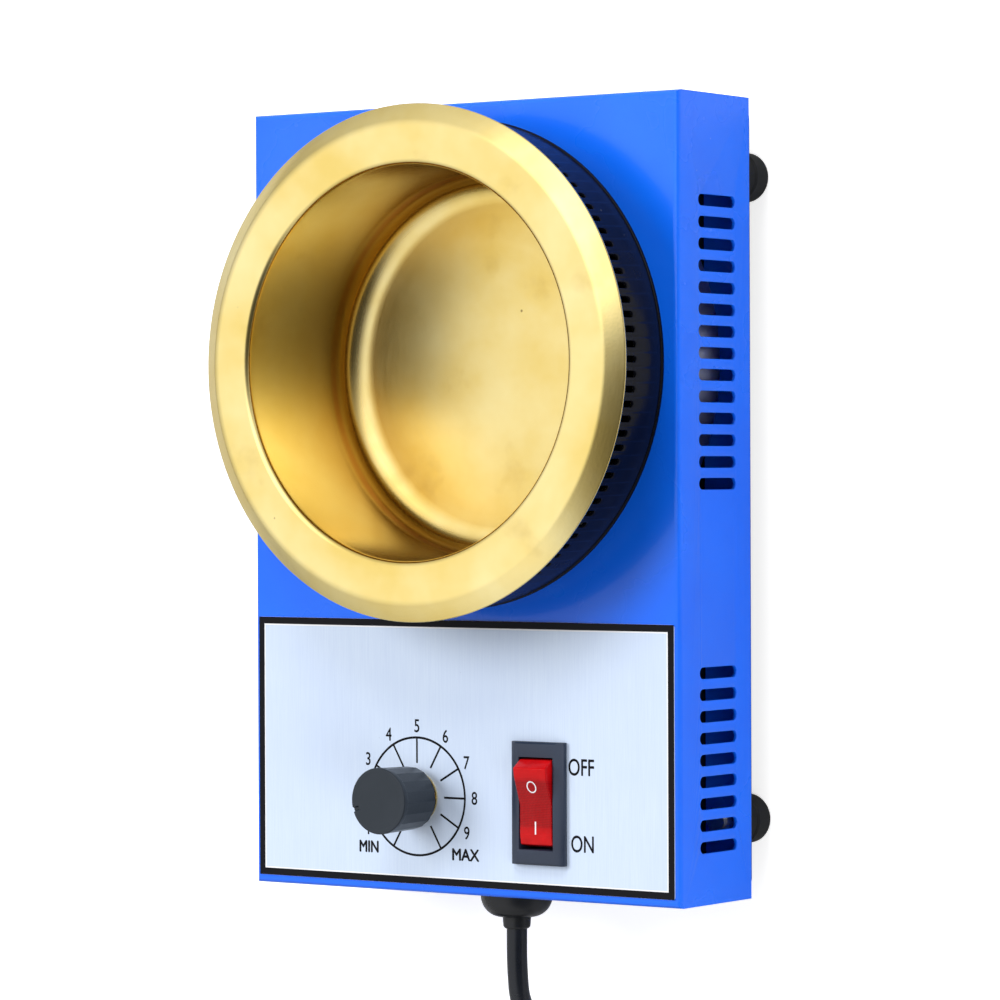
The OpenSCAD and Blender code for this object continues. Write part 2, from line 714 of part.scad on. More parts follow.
housing_w = window_w + 2.6;
housing_l = window_l + 4;
housing_drop = 19.5;              // depth of the housing below the label's face
housing_floor = 1.5;
z_house = z_label - housing_drop;
z_pivot = z_label - 0.3;
pin_d = 2.4;                      // rocker's pivot pins
pin_len = 1;
rocker_r = window_l / 2 - rocker_gap;     // sweep of the rocker's ends round the pivot
rocker_w = window_w - 2 * rocker_gap;
face_low = bezel_h + 0.3;         // height of the rocker's face over the pivot, in its middle
half_swing = rocker_swing / 2;
stem_w = 7;
stem_l = 6;
stem_drop = 7;
tip_r = 1.4;                      // round nose of the plunger
tip_drop = 9.5;                   // centre of the nose below the pivot
lever_t = 0.6;
lever_w = 4;
lever_l = 18;
lever_under = 0.15;               // running gap between the lever and its knife edge
z_knife = z_pivot - tip_drop - tip_r - 0.3 - lever_t - lever_under;
lever_ratio = 0.6;                // lever's turn for each degree of the rocker
rivet_h = 0.7;
blade_w = 4.8;
blade_t = 0.8;
load_y = 7.5;                     // fixed contact, from the switch's middle

// The bezel's outline: its upper corners are cut off, run along the face and drop down its side
module bevelled(span, run, drop) {
    w = span / 2;
    polygon([[-w, 0], [w, 0], [w, bezel_h - drop], [w - run, bezel_h], [run - w, bezel_h], [-w, bezel_h - drop]]);
}

module switch_housing() {
    chamfer = 1.1;
    color([0.17, 0.20, 0.25])
    difference() {
        union() {
            at_switch(z_label) intersection() {
                rotate([90, 0, 0]) linear_extrude(bezel_l, center = true)
                    bevelled(bezel_w, 2 * chamfer, chamfer);
                rotate([90, 0, 90]) linear_extrude(bezel_w, center = true)
                    bevelled(bezel_l, chamfer / 2, chamfer / 2);
            }
            at_switch(z_house) block(housing_w, housing_l, housing_drop + eps);
            for (s = [-1, 1]) at_switch(z_skin - 4) translate([0, s * (housing_l / 2 - 0.2), 0])
                rotate([90, 0, 90]) linear_extrude(6, center = true)
                    polygon([[0, 0], [s * 1, 3.6], [0, 3.6]]);
        }
        at_switch(z_house + housing_floor) block(window_w, window_l, housing_drop + bezel_h);
        at_switch(z_pivot) rotate([0, 90, 0])
            cylinder(d = pin_d + 2 * slide, h = rocker_w + 2 * pin_len + 0.2, center = true);
        for (y = [-load_y, 0, load_y]) at_switch(z_house - 1) translate([0, y, 0])
            block(blade_w + 2 * slide, blade_t + 2 * slide, housing_floor + 2);
    }
}

module rocker() {
    rise = tan(half_swing);
    // half of the outline: middle of the face, end of the face, ridge, end, skirt
    half = [[0, face_low], [7.4, face_low + 7.4 * rise], [9.9, face_low + 7.4 * rise],
            [rocker_r - 0.1, 0.6], [rocker_r - 0.3, -2.5], [stem_l / 2, -2.5]];
    outline = concat(half, [for (i = [len(half) - 1:-1:1]) [-half[i][0], half[i][1]]]);
    color([0.85, 0.10, 0.12])
    at_switch(z_pivot) rotate([half_swing, 0, 0]) difference() {
        union() {
            intersection() {
                rotate([90, 0, 90]) linear_extrude(rocker_w, center = true) polygon(outline);
                rotate([0, 90, 0]) cylinder(r = rocker_r, h = rocker_w + 2, center = true);
            }
            translate([0, 0, -stem_drop]) block(stem_w, stem_l, stem_drop);
            rotate([0, 90, 0]) cylinder(d = pin_d, h = rocker_w + 2 * pin_len, center = true);
        }
        translate([0, 0, -stem_drop - eps]) cylinder(d = 3.2 + 2 * slide, h = 5.5);
    }
}

module switch_plunger() {
    color([0.92, 0.92, 0.90])
    at_switch(z_pivot) rotate([half_swing, 0, 0]) rotate_extrude() polygon(concat(
        arc(0, -tip_drop, tip_r, -90, 0, 6), [[1.6, -tip_drop + 0.8], [1.6, -stem_drop + 1.2],
         [0.7, -stem_drop + 1.2], [0.7, -stem_drop + 2], [0, -stem_drop + 2]]));
}

module plunger_spring() {
    turns = 4;
    wire = 0.4;
    r = 1.2;
    z0 = -stem_drop + 1.2 + wire / 2 + 0.05;
    z1 = -stem_drop + 5.5 - wire / 2 - 0.1;
    steps = 10 * turns;
    color([0.80, 0.80, 0.82])
    at_switch(z_pivot) rotate([half_swing, 0, 0])
        swept([for (i = [0:steps]) [r * cos(36 * i), r * sin(36 * i), z0 + (z1 - z0) * i / steps]], wire, 6);
}

module contact_lever() {
    color([0.80, 0.66, 0.32])
    at_switch(z_knife) rotate([-half_swing * lever_ratio, 0, 0]) translate([0, 0, lever_under]) {
        block(lever_w, lever_l, lever_t);
        translate([0, load_y, -rivet_h]) cylinder(d = 2.4, h = rivet_h + 0.1);
    }
}

// A blade that stands in the housing's floor and reaches up to z
module terminal(y, z) {
    at_switch(z_house - 7) translate([0, y, 0]) difference() {
        block(blade_w, blade_t, z - z_house + 7);
        translate([0, 0, 3]) rotate([90, 0, 0]) cylinder(d = 1.6, h = 2, center = true);
    }
}

module terminal_common() {
    color([0.80, 0.66, 0.32]) union() {
        terminal(0, z_knife - blade_t / 2);
        at_switch(z_knife - blade_t / 2) rotate([0, 90, 0])
            cylinder(d = blade_t, h = blade_w, center = true);
    }
}

// height of the fixed contact, just under the lever's rivet when the switch is on
load_z = z_knife - load_y * sin(half_swing * lever_ratio) - rivet_h + lever_under - seat - 0.1;

module terminal_load() {
    color([0.80, 0.66, 0.32]) union() {
        terminal(load_y, load_z - 0.4);
        at_switch(load_z - 0.5) translate([0, load_y, 0]) cylinder(d = 3, h = 0.5);
    }
}

module terminal_lamp() { color([0.80, 0.66, 0.32]) terminal(-load_y, z_house + 2.6); }

module neon_lamp() {
    color([1, 0.55, 0.30])
    at_switch(z_house + 5.2) translate([window_w / 2 - 1.65, -window_l / 2 + 0.8, 0]) rotate([-90, 0, 0])
        rotate_extrude() polygon(concat([[0, 0], [1.5, 0]], arc(0, 7, 1.5, 0, 90, 6)));
}

// ---- cord ----

groove_d = 11;                    // grommet's diameter where it passes the sheet
neck_d = 7;
neck_len = 3;

module at_outlet(y = 0) { translate([outlet_x, front - y, z_outlet]) rotate([90, 0, 0]) children(); }

module cord_grommet() {
    bore = cord_d / 2;
    r = dome_d / 2;
    color([0.12, 0.12, 0.13])
    at_outlet() rotate_extrude() polygon(concat(
        [[bore, -sheet_t - 2.5], [groove_d / 2 + 1.6, -sheet_t - 2.5], [groove_d / 2 + 1.6, -sheet_t],
         [groove_d / 2, -sheet_t], [groove_d / 2, 0], [r, 0], [r, 1]],
        [for (a = [15:15:75]) [neck_d / 2 + (r - neck_d / 2) * cos(a), 1 + (dome_h - 1) * sin(a)]],
        [[neck_d / 2, dome_h], [neck_d / 2 - 0.3, dome_h + neck_len], [bore, dome_h + neck_len]]));
}

coil_x = outlet_x - 36.8;         // the coil, in front of the case
coil_y = front - 79.5;
coil_r = 28.5;                    // middle of the turns
turns_across = 3;
coil_h = 10.8;

// from inside the case out through the grommet, down to the table and on to the coil: each point's
// step to the left of the outlet, its distance in front of the case, and its share of the fall
lead_steps = [[0, -5, 0], [0, 0, 0], [0, 5.5, 0], [0, 11, 0], [0.2, 16.5, 0.012], [0.6, 22, 0.049],
              [1.1, 27.5, 0.114], [1.5, 33, 0.264], [1.8, 37.8, 0.427], [2, 42, 0.593],
              [2.1, 46, 0.748], [2.2, 50.3, 0.874], [2.2, 55.5, 0.959], [2.2, 61.5, 1]];
z_lying = cord_d / 2 + 0.2;       // the cord's middle where it lies on the table
lead_route = [for (p = lead_steps)
    [outlet_x - p[0], front - p[1], z_outlet - p[2] * (z_outlet - z_lying)]];
// from the top of the coil over its side and down to the plug: steps from the coil's centre
tail_steps = [[4, 28.4, 13.6], [10, 28.4, 13.9], [17, 28.2, 13.9], [24, 27.8, 13.7], [31, 26.8, 13.3],
              [37.5, 24.9, 12.5], [43.5, 21.8, 11.2], [49, 17.6, 9.9], [54, 13, 9], [58.5, 8.5, 8.7],
              [62.5, 4.5, 8.7]];
tail_route = [for (p = tail_steps) [coil_x + p[0], coil_y + p[1], p[2]]];

module cord_lead() { color([0.10, 0.10, 0.11]) swept(lead_route, cord_d - 0.06); }
module cord_tail() { color([0.10, 0.10, 0.11]) swept(tail_route, cord_d - 0.06); }

module cord_coil() {
    half = turns_across * cord_d / 2;
    color([0.10, 0.10, 0.11]) translate([coil_x, coil_y, 0]) rotate_extrude() polygon(concat(
        arc(coil_r + half - 2, 2, 2, -90, 0, 4), arc(coil_r + half - 2, coil_h - 2, 2, 0, 90, 4),
        arc(coil_r - half + 2, coil_h - 2, 2, 90, 180, 4), arc(coil_r - half + 2, 2, 2, 180, 270, 4)));
}

module coil_tie() {
    half = turns_across * cord_d / 2;
    color([0.05, 0.05, 0.05]) translate([coil_x, coil_y, 0]) rotate(200) translate([coil_r, 0, 0])
        rotate([90, 0, 0]) linear_extrude(4, center = true) difference() {
            translate([0, coil_h / 2 + 0.3]) rounded(2 * half + 2, coil_h + 0.6, 2);
            translate([0, coil_h / 2]) square([2 * half + 0.3, coil_h + 0.1], center = true);
        }
}

plug_at = tail_route[len(tail_route) - 1];
plug_turn = -45;                  // direction of the plug on the table
plug_w = 22;
plug_h = 17;
plug_len = 30;

// X runs along the plug from its cord to its pins
module at_plug() {
    translate(plug_at) rotate(plug_turn) rotate([0, 90, 0]) translate([0, 0, seat]) children();
}

module plug_body() {
    color([0.10, 0.10, 0.11])
    at_plug() union() {
        rotate_extrude() polygon([[0, 0], [cord_d / 2 + 0.2, 0], [cord_d / 2 + 1.6, 14], [0, 14]]);
        translate([0, 0, 13]) hull() {
            linear_extrude(1) rounded(10, 12, 2, $fn = 24);
            translate([0, 0, 10]) linear_extrude(plug_len - 10) rounded(plug_h, plug_w, 4, $fn = 24);
        }
    }
}

module plug_pins() {
    color([0.85, 0.80, 0.62])
    at_plug() for (s = [-1, 1]) translate([0, s * 6.35, 13 + plug_len])
        linear_extrude(16) square([6.3, 1.6], center = true);
}

// ---- wiring ----

wire_d = 1.8;
lug_drop = 4;                     // how far below the switch its wires meet the blades
cord_end = lead_route[0] + [0, 0.2, 0];

// where a wire enters way i of the terminal block, i from -1.5 at the front to 1.5
function way(i) = [board_x + block_pos[0] + block_w / 2 - 0.9,
                   board_y + block_pos[1] + block_pitch * i, z_parts + entry_z];

module heater_leads() {
    y0 = cup_y - band_out_r - 2.2;
    y_out = cup_y - shield_r - 6;
    color([0.90, 0.88, 0.80]) for (s = [-1, 1]) {
        x = s * lead_gap / 2;
        end = way(1 + s / 2);
        over = end[0] + 4 + s;
        swept([[x, y0, lead_z], [x, y0 - 3, lead_z], [x * 0.8, y0 - 6, lead_z], [x * 0.8, y_out, lead_z],
            [x + 1, y_out - 3, lead_z - 1.5], [x + 3, y_out - 6, lead_z - 5],
            [over + 0.5, y_out - 11, (lead_z + end[2]) / 2], [over, end[1] + 9, end[2] + 1.5],
            [over, end[1] + 3, end[2] + 0.5], [over - 1, end[1] + 0.6, end[2]], end], wire_d);
    }
}

module live_wire() {
    tip = [switch_x - 1, control_y - (blade_t + wire_d) / 2 - 0.2, z_house - lug_drop];
    color([0.45, 0.25, 0.12]) swept([cord_end + [1.2, 0, 0], cord_end + [3, 4, 0],
        cord_end + [8, 7, -2], cord_end + [12, 10.5, -5.5], tip - [4, 2, 0.5], tip], wire_d);
}

module neutral_wire() {
    end = way(-1.5);
    color([0.20, 0.35, 0.75]) swept([cord_end + [-1.2, 0, 0.6], cord_end + [-1, 3, 0.2],
        [end[0] + 4.2, front + 11, (cord_end[2] + end[2]) / 2 + 0.5],
        [end[0] + 4, end[1] - 1.2, end[2] + 0.6], [end[0] + 3, end[1] - 0.2, end[2]], end], wire_d);
}

module switched_wire() {
    end = way(-0.5);
    start = [switch_x - 1, control_y + load_y + (blade_t + wire_d) / 2 + 0.2, z_house - lug_drop];
    color([0.70, 0.10, 0.10]) swept([start, start + [-4, 1.5, -0.8], start + [-9, 1.5, -1.2],
        end + [7, 2.5, -1.5], end + [4, 0.3, 0], end], wire_d);
}

module earth_wire() {
    low = z_cover + wire_d / 2 + 0.4;          // lying just over the base plate
    tip = [earth_x - 3.8, earth_y - 1, low];
    color([0.75, 0.75, 0.10]) swept([cord_end + [1.2, 0.3, -1.9], cord_end + [3, 2.5, -4],
        [outlet_x + 6, front + 7.5, (low + cord_end[2]) / 2], [outlet_x + 10, front + 9, low + 3],
        [outlet_x + 15, front + 11, low], [switch_x, front + 15, low], tip - [5, 6, 0], tip], wire_d);
}

top_shell();
base_plate();
translate([-foot_x, -foot_y, 0]) foot();
translate([foot_x, -foot_y, 0]) foot();
translate([-foot_x, foot_y, 0]) foot();
translate([foot_x, foot_y, 0]) foot();
foot_screws();
foot_nuts();
crucible();
guard_ring();
ring_screws();
ring_nuts();
heater_band();
band_screw();
insulation_ring();
insulation_disc();
heat_shield();
lead_bushing();
hold_down_stud();
hold_down_washer();
hold_down_nut();
panel_label();
knob();
knob_insert();
dial_shaft();
dial_nut();
dial_washer();
dial_bushing();
dial_body();
circuit_board();
board_spacers();
board_screws();
triac();
heat_sink();
choke();
capacitor();
terminal_block();
switch_housing();
rocker();
switch_plunger();
plunger_spring();
contact_lever();
terminal_common();
terminal_load();
terminal_lamp();
neon_lamp();
cord_grommet();
cord_lead();
cord_coil();
coil_tie();
cord_tail();
plug_body();
plug_pins();
heater_leads();
live_wire();
neutral_wire();
switched_wire();
earth_wire();
earth_screw();
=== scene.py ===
import bpy
import bmesh
import json
import math
import numpy as np
from mathutils import Matrix, Vector

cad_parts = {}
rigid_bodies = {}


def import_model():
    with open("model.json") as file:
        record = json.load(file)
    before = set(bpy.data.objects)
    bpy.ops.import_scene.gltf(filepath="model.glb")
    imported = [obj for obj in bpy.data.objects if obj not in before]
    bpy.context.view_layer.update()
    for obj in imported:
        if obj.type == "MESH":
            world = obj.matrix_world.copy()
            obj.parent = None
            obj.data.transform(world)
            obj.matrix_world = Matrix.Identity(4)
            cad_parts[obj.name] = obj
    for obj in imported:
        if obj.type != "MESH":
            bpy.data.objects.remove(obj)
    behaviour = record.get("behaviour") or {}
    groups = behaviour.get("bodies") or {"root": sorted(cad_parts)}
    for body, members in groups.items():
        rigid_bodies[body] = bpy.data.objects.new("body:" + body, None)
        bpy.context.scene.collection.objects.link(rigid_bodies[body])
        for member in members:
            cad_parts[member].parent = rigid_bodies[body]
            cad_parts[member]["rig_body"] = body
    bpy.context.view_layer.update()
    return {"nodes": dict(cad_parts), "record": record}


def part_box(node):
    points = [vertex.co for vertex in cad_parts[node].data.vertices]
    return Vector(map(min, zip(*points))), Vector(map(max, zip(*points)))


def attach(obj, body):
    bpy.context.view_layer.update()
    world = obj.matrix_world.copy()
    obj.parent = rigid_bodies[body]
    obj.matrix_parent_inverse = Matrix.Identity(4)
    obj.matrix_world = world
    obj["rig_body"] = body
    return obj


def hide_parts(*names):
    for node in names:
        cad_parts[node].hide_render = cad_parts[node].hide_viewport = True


# Solder pot: a gold-coloured cup in a blue steel case with a dial, a lit rocker switch and a mains
# cord. Shapes are worked out in millimetres in the frame's own axes and scaled once, in makePiece.
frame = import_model()
nodes = frame["nodes"]
mm = 0.001
pi = math.pi
weldWithin = 2e-6


def boxOf(node):
    low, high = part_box(node)
    return np.array(low) / mm, np.array(high) / mm


def middleOf(node):
    low, high = boxOf(node)
    return (low + high)[:2] / 2


camera = {
    "place": (0.65468, 0.00706, 0.94801),
    "right": (0.81532, -0.00384, -0.579),
    "up": (-0.00066, 0.99997, -0.00757),
    "back": (0.57901, 0.00656, 0.8153),
    "lens": 156.85,
}
cameraData = bpy.data.cameras.new("camera")
cameraData.lens = camera["lens"]
cameraData.sensor_width = 36
cameraData.clip_end = 50
cameraObject = bpy.data.objects.new("camera", cameraData)
bpy.context.scene.collection.objects.link(cameraObject)
turn = Matrix((camera["right"], camera["up"], camera["back"])).transposed().to_4x4()
cameraObject.matrix_world = Matrix.Translation(camera["place"]) @ turn
bpy.context.scene.camera = cameraObject
print("camera placed")


# quads of a rows x cols grid of points; loop joins the last column to the first
def gridFaces(rows, cols, loop=True, start=0):
    r = np.arange(rows - 1)[:, None]
    c = np.arange(cols if loop else cols - 1)[None, :]
    n = (c + 1) % cols
    quads = np.stack([r * cols + c, r * cols + n, (r + 1) * cols + n, (r + 1) * cols + c], axis=-1)
    return quads.reshape(-1, 4) + start


def anglesRound(count):
    return np.arange(count) * 2 * pi / count


# the flat caps on the first and the last row of a grid of points
def endCaps(rows, cols):
    first = np.arange(cols)
    return np.array([first, first[::-1] + (rows - 1) * cols])


# a mesh object from points in millimetres and a list of face arrays, welded and turned outward;
# the finish is named, body is what it rides on, stands names the CAD nodes that it replaces
def makePiece(name, points, faces, finish, body="root", stands=(), sharp=35, closed=True):
    faces = [np.asarray(f, dtype=np.int32) for f in (faces if isinstance(faces, list) else [faces])]
    loops = np.concatenate([f.ravel() for f in faces])
    sizes = np.concatenate([np.full(len(f), f.shape[1], dtype=np.int32) for f in faces])
    mesh = bpy.data.meshes.new(name)
    points = np.asarray(points, dtype=np.float64).reshape(-1, 3)
    mesh.vertices.add(len(points))
    mesh.vertices.foreach_set("co", (points * mm).astype(np.float32).ravel())
    mesh.loops.add(len(loops))
    mesh.loops.foreach_set("vertex_index", loops)
    mesh.polygons.add(len(sizes))
    mesh.polygons.foreach_set("loop_start", (np.cumsum(sizes) - sizes).astype(np.int32))
    mesh.update(calc_edges=True)
    mesh.validate()
    work = bmesh.new()
    work.from_mesh(mesh)
    bmesh.ops.remove_doubles(work, verts=work.verts, dist=weldWithin)
    if closed:
        bmesh.ops.recalc_face_normals(work, faces=work.faces)
    work.to_mesh(mesh)
    work.free()
    return placePiece(name, mesh, finish, body, stands, sharp)


def placePiece(name, mesh, finish, body="root", stands=(), sharp=35):
    mesh.shade_smooth()
    mesh.set_sharp_from_angle(angle=math.radians(sharp))
    mesh.materials.clear()
    mesh.materials.append(finishes[finish])
    piece = bpy.data.objects.new(name, mesh)
    bpy.context.scene.collection.objects.link(piece)
    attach(piece, body)
    if stands:
        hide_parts(*stands)
    return piece


# a profile with its corners rounded: each inner corner gives way to an arc tangent to both sides
def rounded(corners, radii, steps=6):
    out = [np.array(corners[0], float)]
    for i in range(1, len(corners) - 1):
        a, b, c = (np.array(corners[j], float) for j in (i - 1, i, i + 1))
        u, v = (a - b) / np.linalg.norm(a - b), (c - b) / np.linalg.norm(c - b)
        half = math.acos(np.clip(u @ v, -1, 1)) / 2
        r = radii[i - 1]
        if r <= 0 or half > pi / 2 - 1e-3:
            out.append(b)
            continue
        middle = b + (u + v) / np.linalg.norm(u + v) * r / math.sin(half)
        first, last = b + u * r / math.tan(half) - middle, b + v * r / math.tan(half) - middle
        turnBy = pi - 2 * half
        for t in np.linspace(0, 1, steps + 1):
            out.append(middle + (first * math.sin((1 - t) * turnBy) + last * math.sin(t * turnBy))
                       / math.sin(turnBy))
    out.append(np.array(corners[-1], float))
    return np.array(out)


# a profile of radius and height turned round the Z axis through the centre
def revolve(profile, centre=(0, 0), segments=96):
    a = anglesRound(segments)
    r, z = profile[:, 0][:, None], profile[:, 1][:, None]
    pts = np.stack([centre[0] + r * np.cos(a), centre[1] + r * np.sin(a), z + 0 * a], axis=-1)
    return pts.reshape(-1, 3), gridFaces(len(profile), segments)


# side and lift directions along a path, carried on from point to point without twist
def framesAlong(path, side=(0, 0, 1)):
    ahead = np.gradient(path, axis=0)
    ahead /= np.linalg.norm(ahead, axis=1)[:, None]
    sides = np.empty_like(path)
    s = np.array(side, float)
    for i, t in enumerate(ahead):
        s = s - t * (s @ t)
        s /= np.linalg.norm(s)
        sides[i] = s
    return sides, np.cross(ahead, sides)


# a closed section of points (side, lift) carried along a path, its ends closed by flat caps
def carried(path, section):
    sides, lifts = framesAlong(path)
    a, b = section[:, 0][None, :, None], section[:, 1][None, :, None]
    pts = path[:, None] + (a * sides[:, None] + b * lifts[:, None])
    n = len(section)
    return pts.reshape(-1, 3), [gridFaces(len(path), n), endCaps(len(path), n)]


def ringOf(count, radius=1.0):
    a = anglesRound(count)
    return np.stack([radius * np.cos(a), radius * np.sin(a)], axis=1)


# points spread evenly along a smooth curve through the knots (centripetal Catmull-Rom)
def smoothPath(knots, step):
    p = np.asarray(knots, float)
    p = np.vstack([2 * p[0] - p[1], p, 2 * p[-1] - p[-2]])
    t = np.concatenate([[0], np.cumsum(np.linalg.norm(np.diff(p, axis=0), axis=1) ** 0.5)])
    out = []
    for i in range(1, len(p) - 2):
        u = np.linspace(t[i], t[i + 1], 12, endpoint=False)[:, None]
        mix = lambda a, b, ta, tb: ((tb - u) * a + (u - ta) * b) / (tb - ta)
        a1, a2, a3 = (mix(p[i + j - 1], p[i + j], t[i + j - 1], t[i + j]) for j in range(3))
        b1 = mix(a1, a2, t[i - 1], t[i + 1])
        b2 = mix(a2, a3, t[i], t[i + 2])
        out.append(mix(b1, b2, t[i], t[i + 1]))
    out = np.vstack(out + [p[-2][None]])
    run = np.concatenate([[0], np.cumsum(np.linalg.norm(np.diff(out, axis=0), axis=1))])
    want = np.linspace(0, run[-1], max(int(run[-1] / step), 3) + 1)
    return np.stack([np.interp(want, run, out[:, k]) for k in range(3)], axis=1)


# a node with its settings, and its inputs as values or as links from sockets
def addNode(tree, kind, inputs=None, **settings):
    node = tree.nodes.new(kind)
    for key, value in settings.items():
        setattr(node, key, value)
    for key, value in (inputs or {}).items():
        if isinstance(value, bpy.types.NodeSocket):
            tree.links.new(value, node.inputs[key])
        else:
            node.inputs[key].default_value = value
    return node


# a group with a vector and the named values going in and one mask from 0 to 1 coming out
def newGroup(name, **values):
    group = bpy.data.node_groups.new(name, "ShaderNodeTree")
    group.interface.new_socket(name="Vector", in_out="INPUT", socket_type="NodeSocketVector")
    for label, value in values.items():
        kind = "NodeSocketVector" if isinstance(value, tuple) else "NodeSocketFloat"
        socket = group.interface.new_socket(name=label, in_out="INPUT", socket_type=kind)
        socket.default_value = value
    group.interface.new_socket(name="Mask", in_out="OUTPUT", socket_type="NodeSocketFloat")
    return group, group.nodes.new("NodeGroupInput").outputs, group.nodes.new("NodeGroupOutput").inputs


def maths(tree, operation, a, b=0.0, clamp=False):
    node = addNode(tree, "ShaderNodeMath", {0: a, 1: b}, operation=operation)
    node.use_clamp = clamp
    return node.outputs[0]


def times(tree, a, b):
    return maths(tree, "MULTIPLY", a, b)


def plus(tree, a, b):
    return maths(tree, "ADD", a, b)


def ramped(tree, value, low, high, toLow=0.0, toHigh=1.0, kind="LINEAR"):
    return addNode(tree, "ShaderNodeMapRange", {"Value": value, "From Min": low, "From Max": high,
                   "To Min": toLow, "To Max": toHigh}, interpolation_type=kind).outputs["Result"]


def vectorMaths(tree, operation, a, b=None):
    values = {0: a} if b is None else {0: a, 1: b}
    return addNode(tree, "ShaderNodeVectorMath", values, operation=operation)


# the axes of a vector as sockets
def splitAxes(tree, vector):
    return addNode(tree, "ShaderNodeSeparateXYZ", {0: vector}).outputs


def noise(tree, vector, scale, detail, rough):
    return addNode(tree, "ShaderNodeTexNoise", {"Vector": vector, "Scale": scale, "Detail": detail,
                   "Roughness": rough}).outputs["Fac"]


# mottle: soft cloudy variation
mottle, mIn, mOut = newGroup("mottle", Scale=40.0, Detail=4.0, Low=0.35, High=0.65)
cloudy = noise(mottle, mIn["Vector"], mIn["Scale"], mIn["Detail"], 0.55)
mottle.links.new(ramped(mottle, cloudy, mIn["Low"], mIn["High"]), mOut["Mask"])

# specks: sparse small round dots, each cell of a Voronoi pattern holding one or none
specks, sIn, sOut = newGroup("specks", Scale=150.0, Share=0.1, Size=0.12)
cells = addNode(specks, "ShaderNodeTexVoronoi", {"Vector": sIn["Vector"], "Scale": sIn["Scale"]})
cellColour = addNode(specks, "ShaderNodeSeparateColor", {"Color": cells.outputs["Color"]})
chosen = maths(specks, "LESS_THAN", cellColour.outputs["Red"], sIn["Share"])
dotMask = ramped(specks, cells.outputs["Distance"], sIn["Size"], times(specks, sIn["Size"], 0.5))
specks.links.new(times(specks, chosen, dotMask), sOut["Mask"])

# brushed: fine parallel lines, noise drawn out along one axis by the stretch vector
brushed, bIn, bOut = newGroup("brushed", Stretch=(1, 60, 60), Scale=60.0)
drawn = vectorMaths(brushed, "MULTIPLY", bIn["Vector"], bIn["Stretch"]).outputs[0]
streaks = noise(brushed, drawn, bIn["Scale"], 3.0, 0.7)
brushed.links.new(ramped(brushed, streaks, 0.3, 0.7), bOut["Mask"])

# spun: fine turning rings round the Z axis of the vector, noise over radius and height that
# changes only slowly on the way round
spun, tIn, tOut = newGroup("spun", Scale=900.0)
axes = splitAxes(spun, tIn["Vector"])
flat = addNode(spun, "ShaderNodeCombineXYZ", {"X": axes["X"], "Y": axes["Y"]}).outputs[0]
radius = vectorMaths(spun, "LENGTH", flat).outputs["Value"]
around = vectorMaths(spun, "NORMALIZE", flat).outputs[0]
slowly = vectorMaths(spun, "MULTIPLY", around, (0.004, 0.004, 0.0)).outputs[0]
reach = addNode(spun, "ShaderNodeCombineXYZ", {"X": radius, "Z": axes["Z"]}).outputs[0]
joined = vectorMaths(spun, "ADD", reach, slowly).outputs[0]
ringed = noise(spun, joined, tIn["Scale"], 3.0, 0.6)
spun.links.new(ramped(spun, ringed, 0.3, 0.7), tOut["Mask"])


def useGroup(tree, group, vector, **values):
    node = addNode(tree, "ShaderNodeGroup", {"Vector": vector, **values}, node_tree=group)
    return node.outputs["Mask"]


# the colour between two, by a mask
def blendColour(tree, mask, a, b):
    node = addNode(tree, "ShaderNodeMix", data_type="RGBA")
    sockets = [s for s in node.inputs if s.enabled]
    for socket, value in zip(sockets, (mask, a, b)):
        if isinstance(value, bpy.types.NodeSocket):
            tree.links.new(value, socket)
        elif isinstance(value, (int, float)):
            socket.default_value = value
        else:
            socket.default_value = (*value, 1)
    return [s for s in node.outputs if s.enabled][0]


finishes = {}


# a new finish: its tree, its Principled shader and object coordinates moved to a centre in mm
def newFinish(name, centre=(0, 0, 0), **constants):
    material = bpy.data.materials.new(name)
    material.use_nodes = True
    finishes[name] = material
    tree = material.node_tree
    shader = tree.nodes["Principled BSDF"]
    for key, value in constants.items():
        shader.inputs[key.replace("_", " ")].default_value = value
    source = addNode(tree, "ShaderNodeTexCoord").outputs["Object"]
    place = addNode(tree, "ShaderNodeMapping", {"Vector": source,
                    "Location": tuple(-c * mm for c in centre)})
    return tree, shader, place.outputs[0]


# the last links of a finish: its colour, its roughness and its fine relief
def dress(tree, shader, colour, rough, relief, strength, depth):
    tree.links.new(colour, shader.inputs["Base Color"])
    tree.links.new(rough, shader.inputs["Roughness"])
    bump = addNode(tree, "ShaderNodeBump", {"Height": relief, "Strength": strength, "Distance": depth})
    tree.links.new(bump.outputs[0], shader.inputs["Normal"])


print("making finishes")
cupX, cupY = middleOf("crucible")
dialX, dialY = middleOf("dial_nut")
switchX, switchY = middleOf("switch_housing")


# sprayed paint: slight cloud in the colour, dust, and the fine waviness of a sprayed coat
def paintFinish(name, light, deep, rough, coat, peel):
    tree, shader, place = newFinish(name, Coat_Weight=coat, Coat_Roughness=0.08, Coat_IOR=1.6,
                                    Specular_IOR_Level=0.35)
    cloud = useGroup(tree, mottle, place, Scale=25.0)
    dust = useGroup(tree, specks, place, Scale=210.0, Share=0.035, Size=0.07)
    colour = blendColour(tree, cloud, light, deep)
    colour = blendColour(tree, times(tree, dust, 0.5), colour, (0.4, 0.5, 0.8))
    waves = useGroup(tree, mottle, place, Scale=900.0, Detail=2.0, Low=0.2, High=0.8)
    rough = ramped(tree, cloud, 0, 1, rough - 0.03, rough + 0.04)
    dress(tree, shader, colour, rough, waves, peel, 0.00004)


paintFinish("bluePaint", (0.004, 0.15, 0.95), (0.003, 0.13, 0.90), 0.28, 0.22, 0.12)
paintFinish("darkPaint", (0.03, 0.034, 0.045), (0.022, 0.025, 0.034), 0.4, 0.1, 0.2)

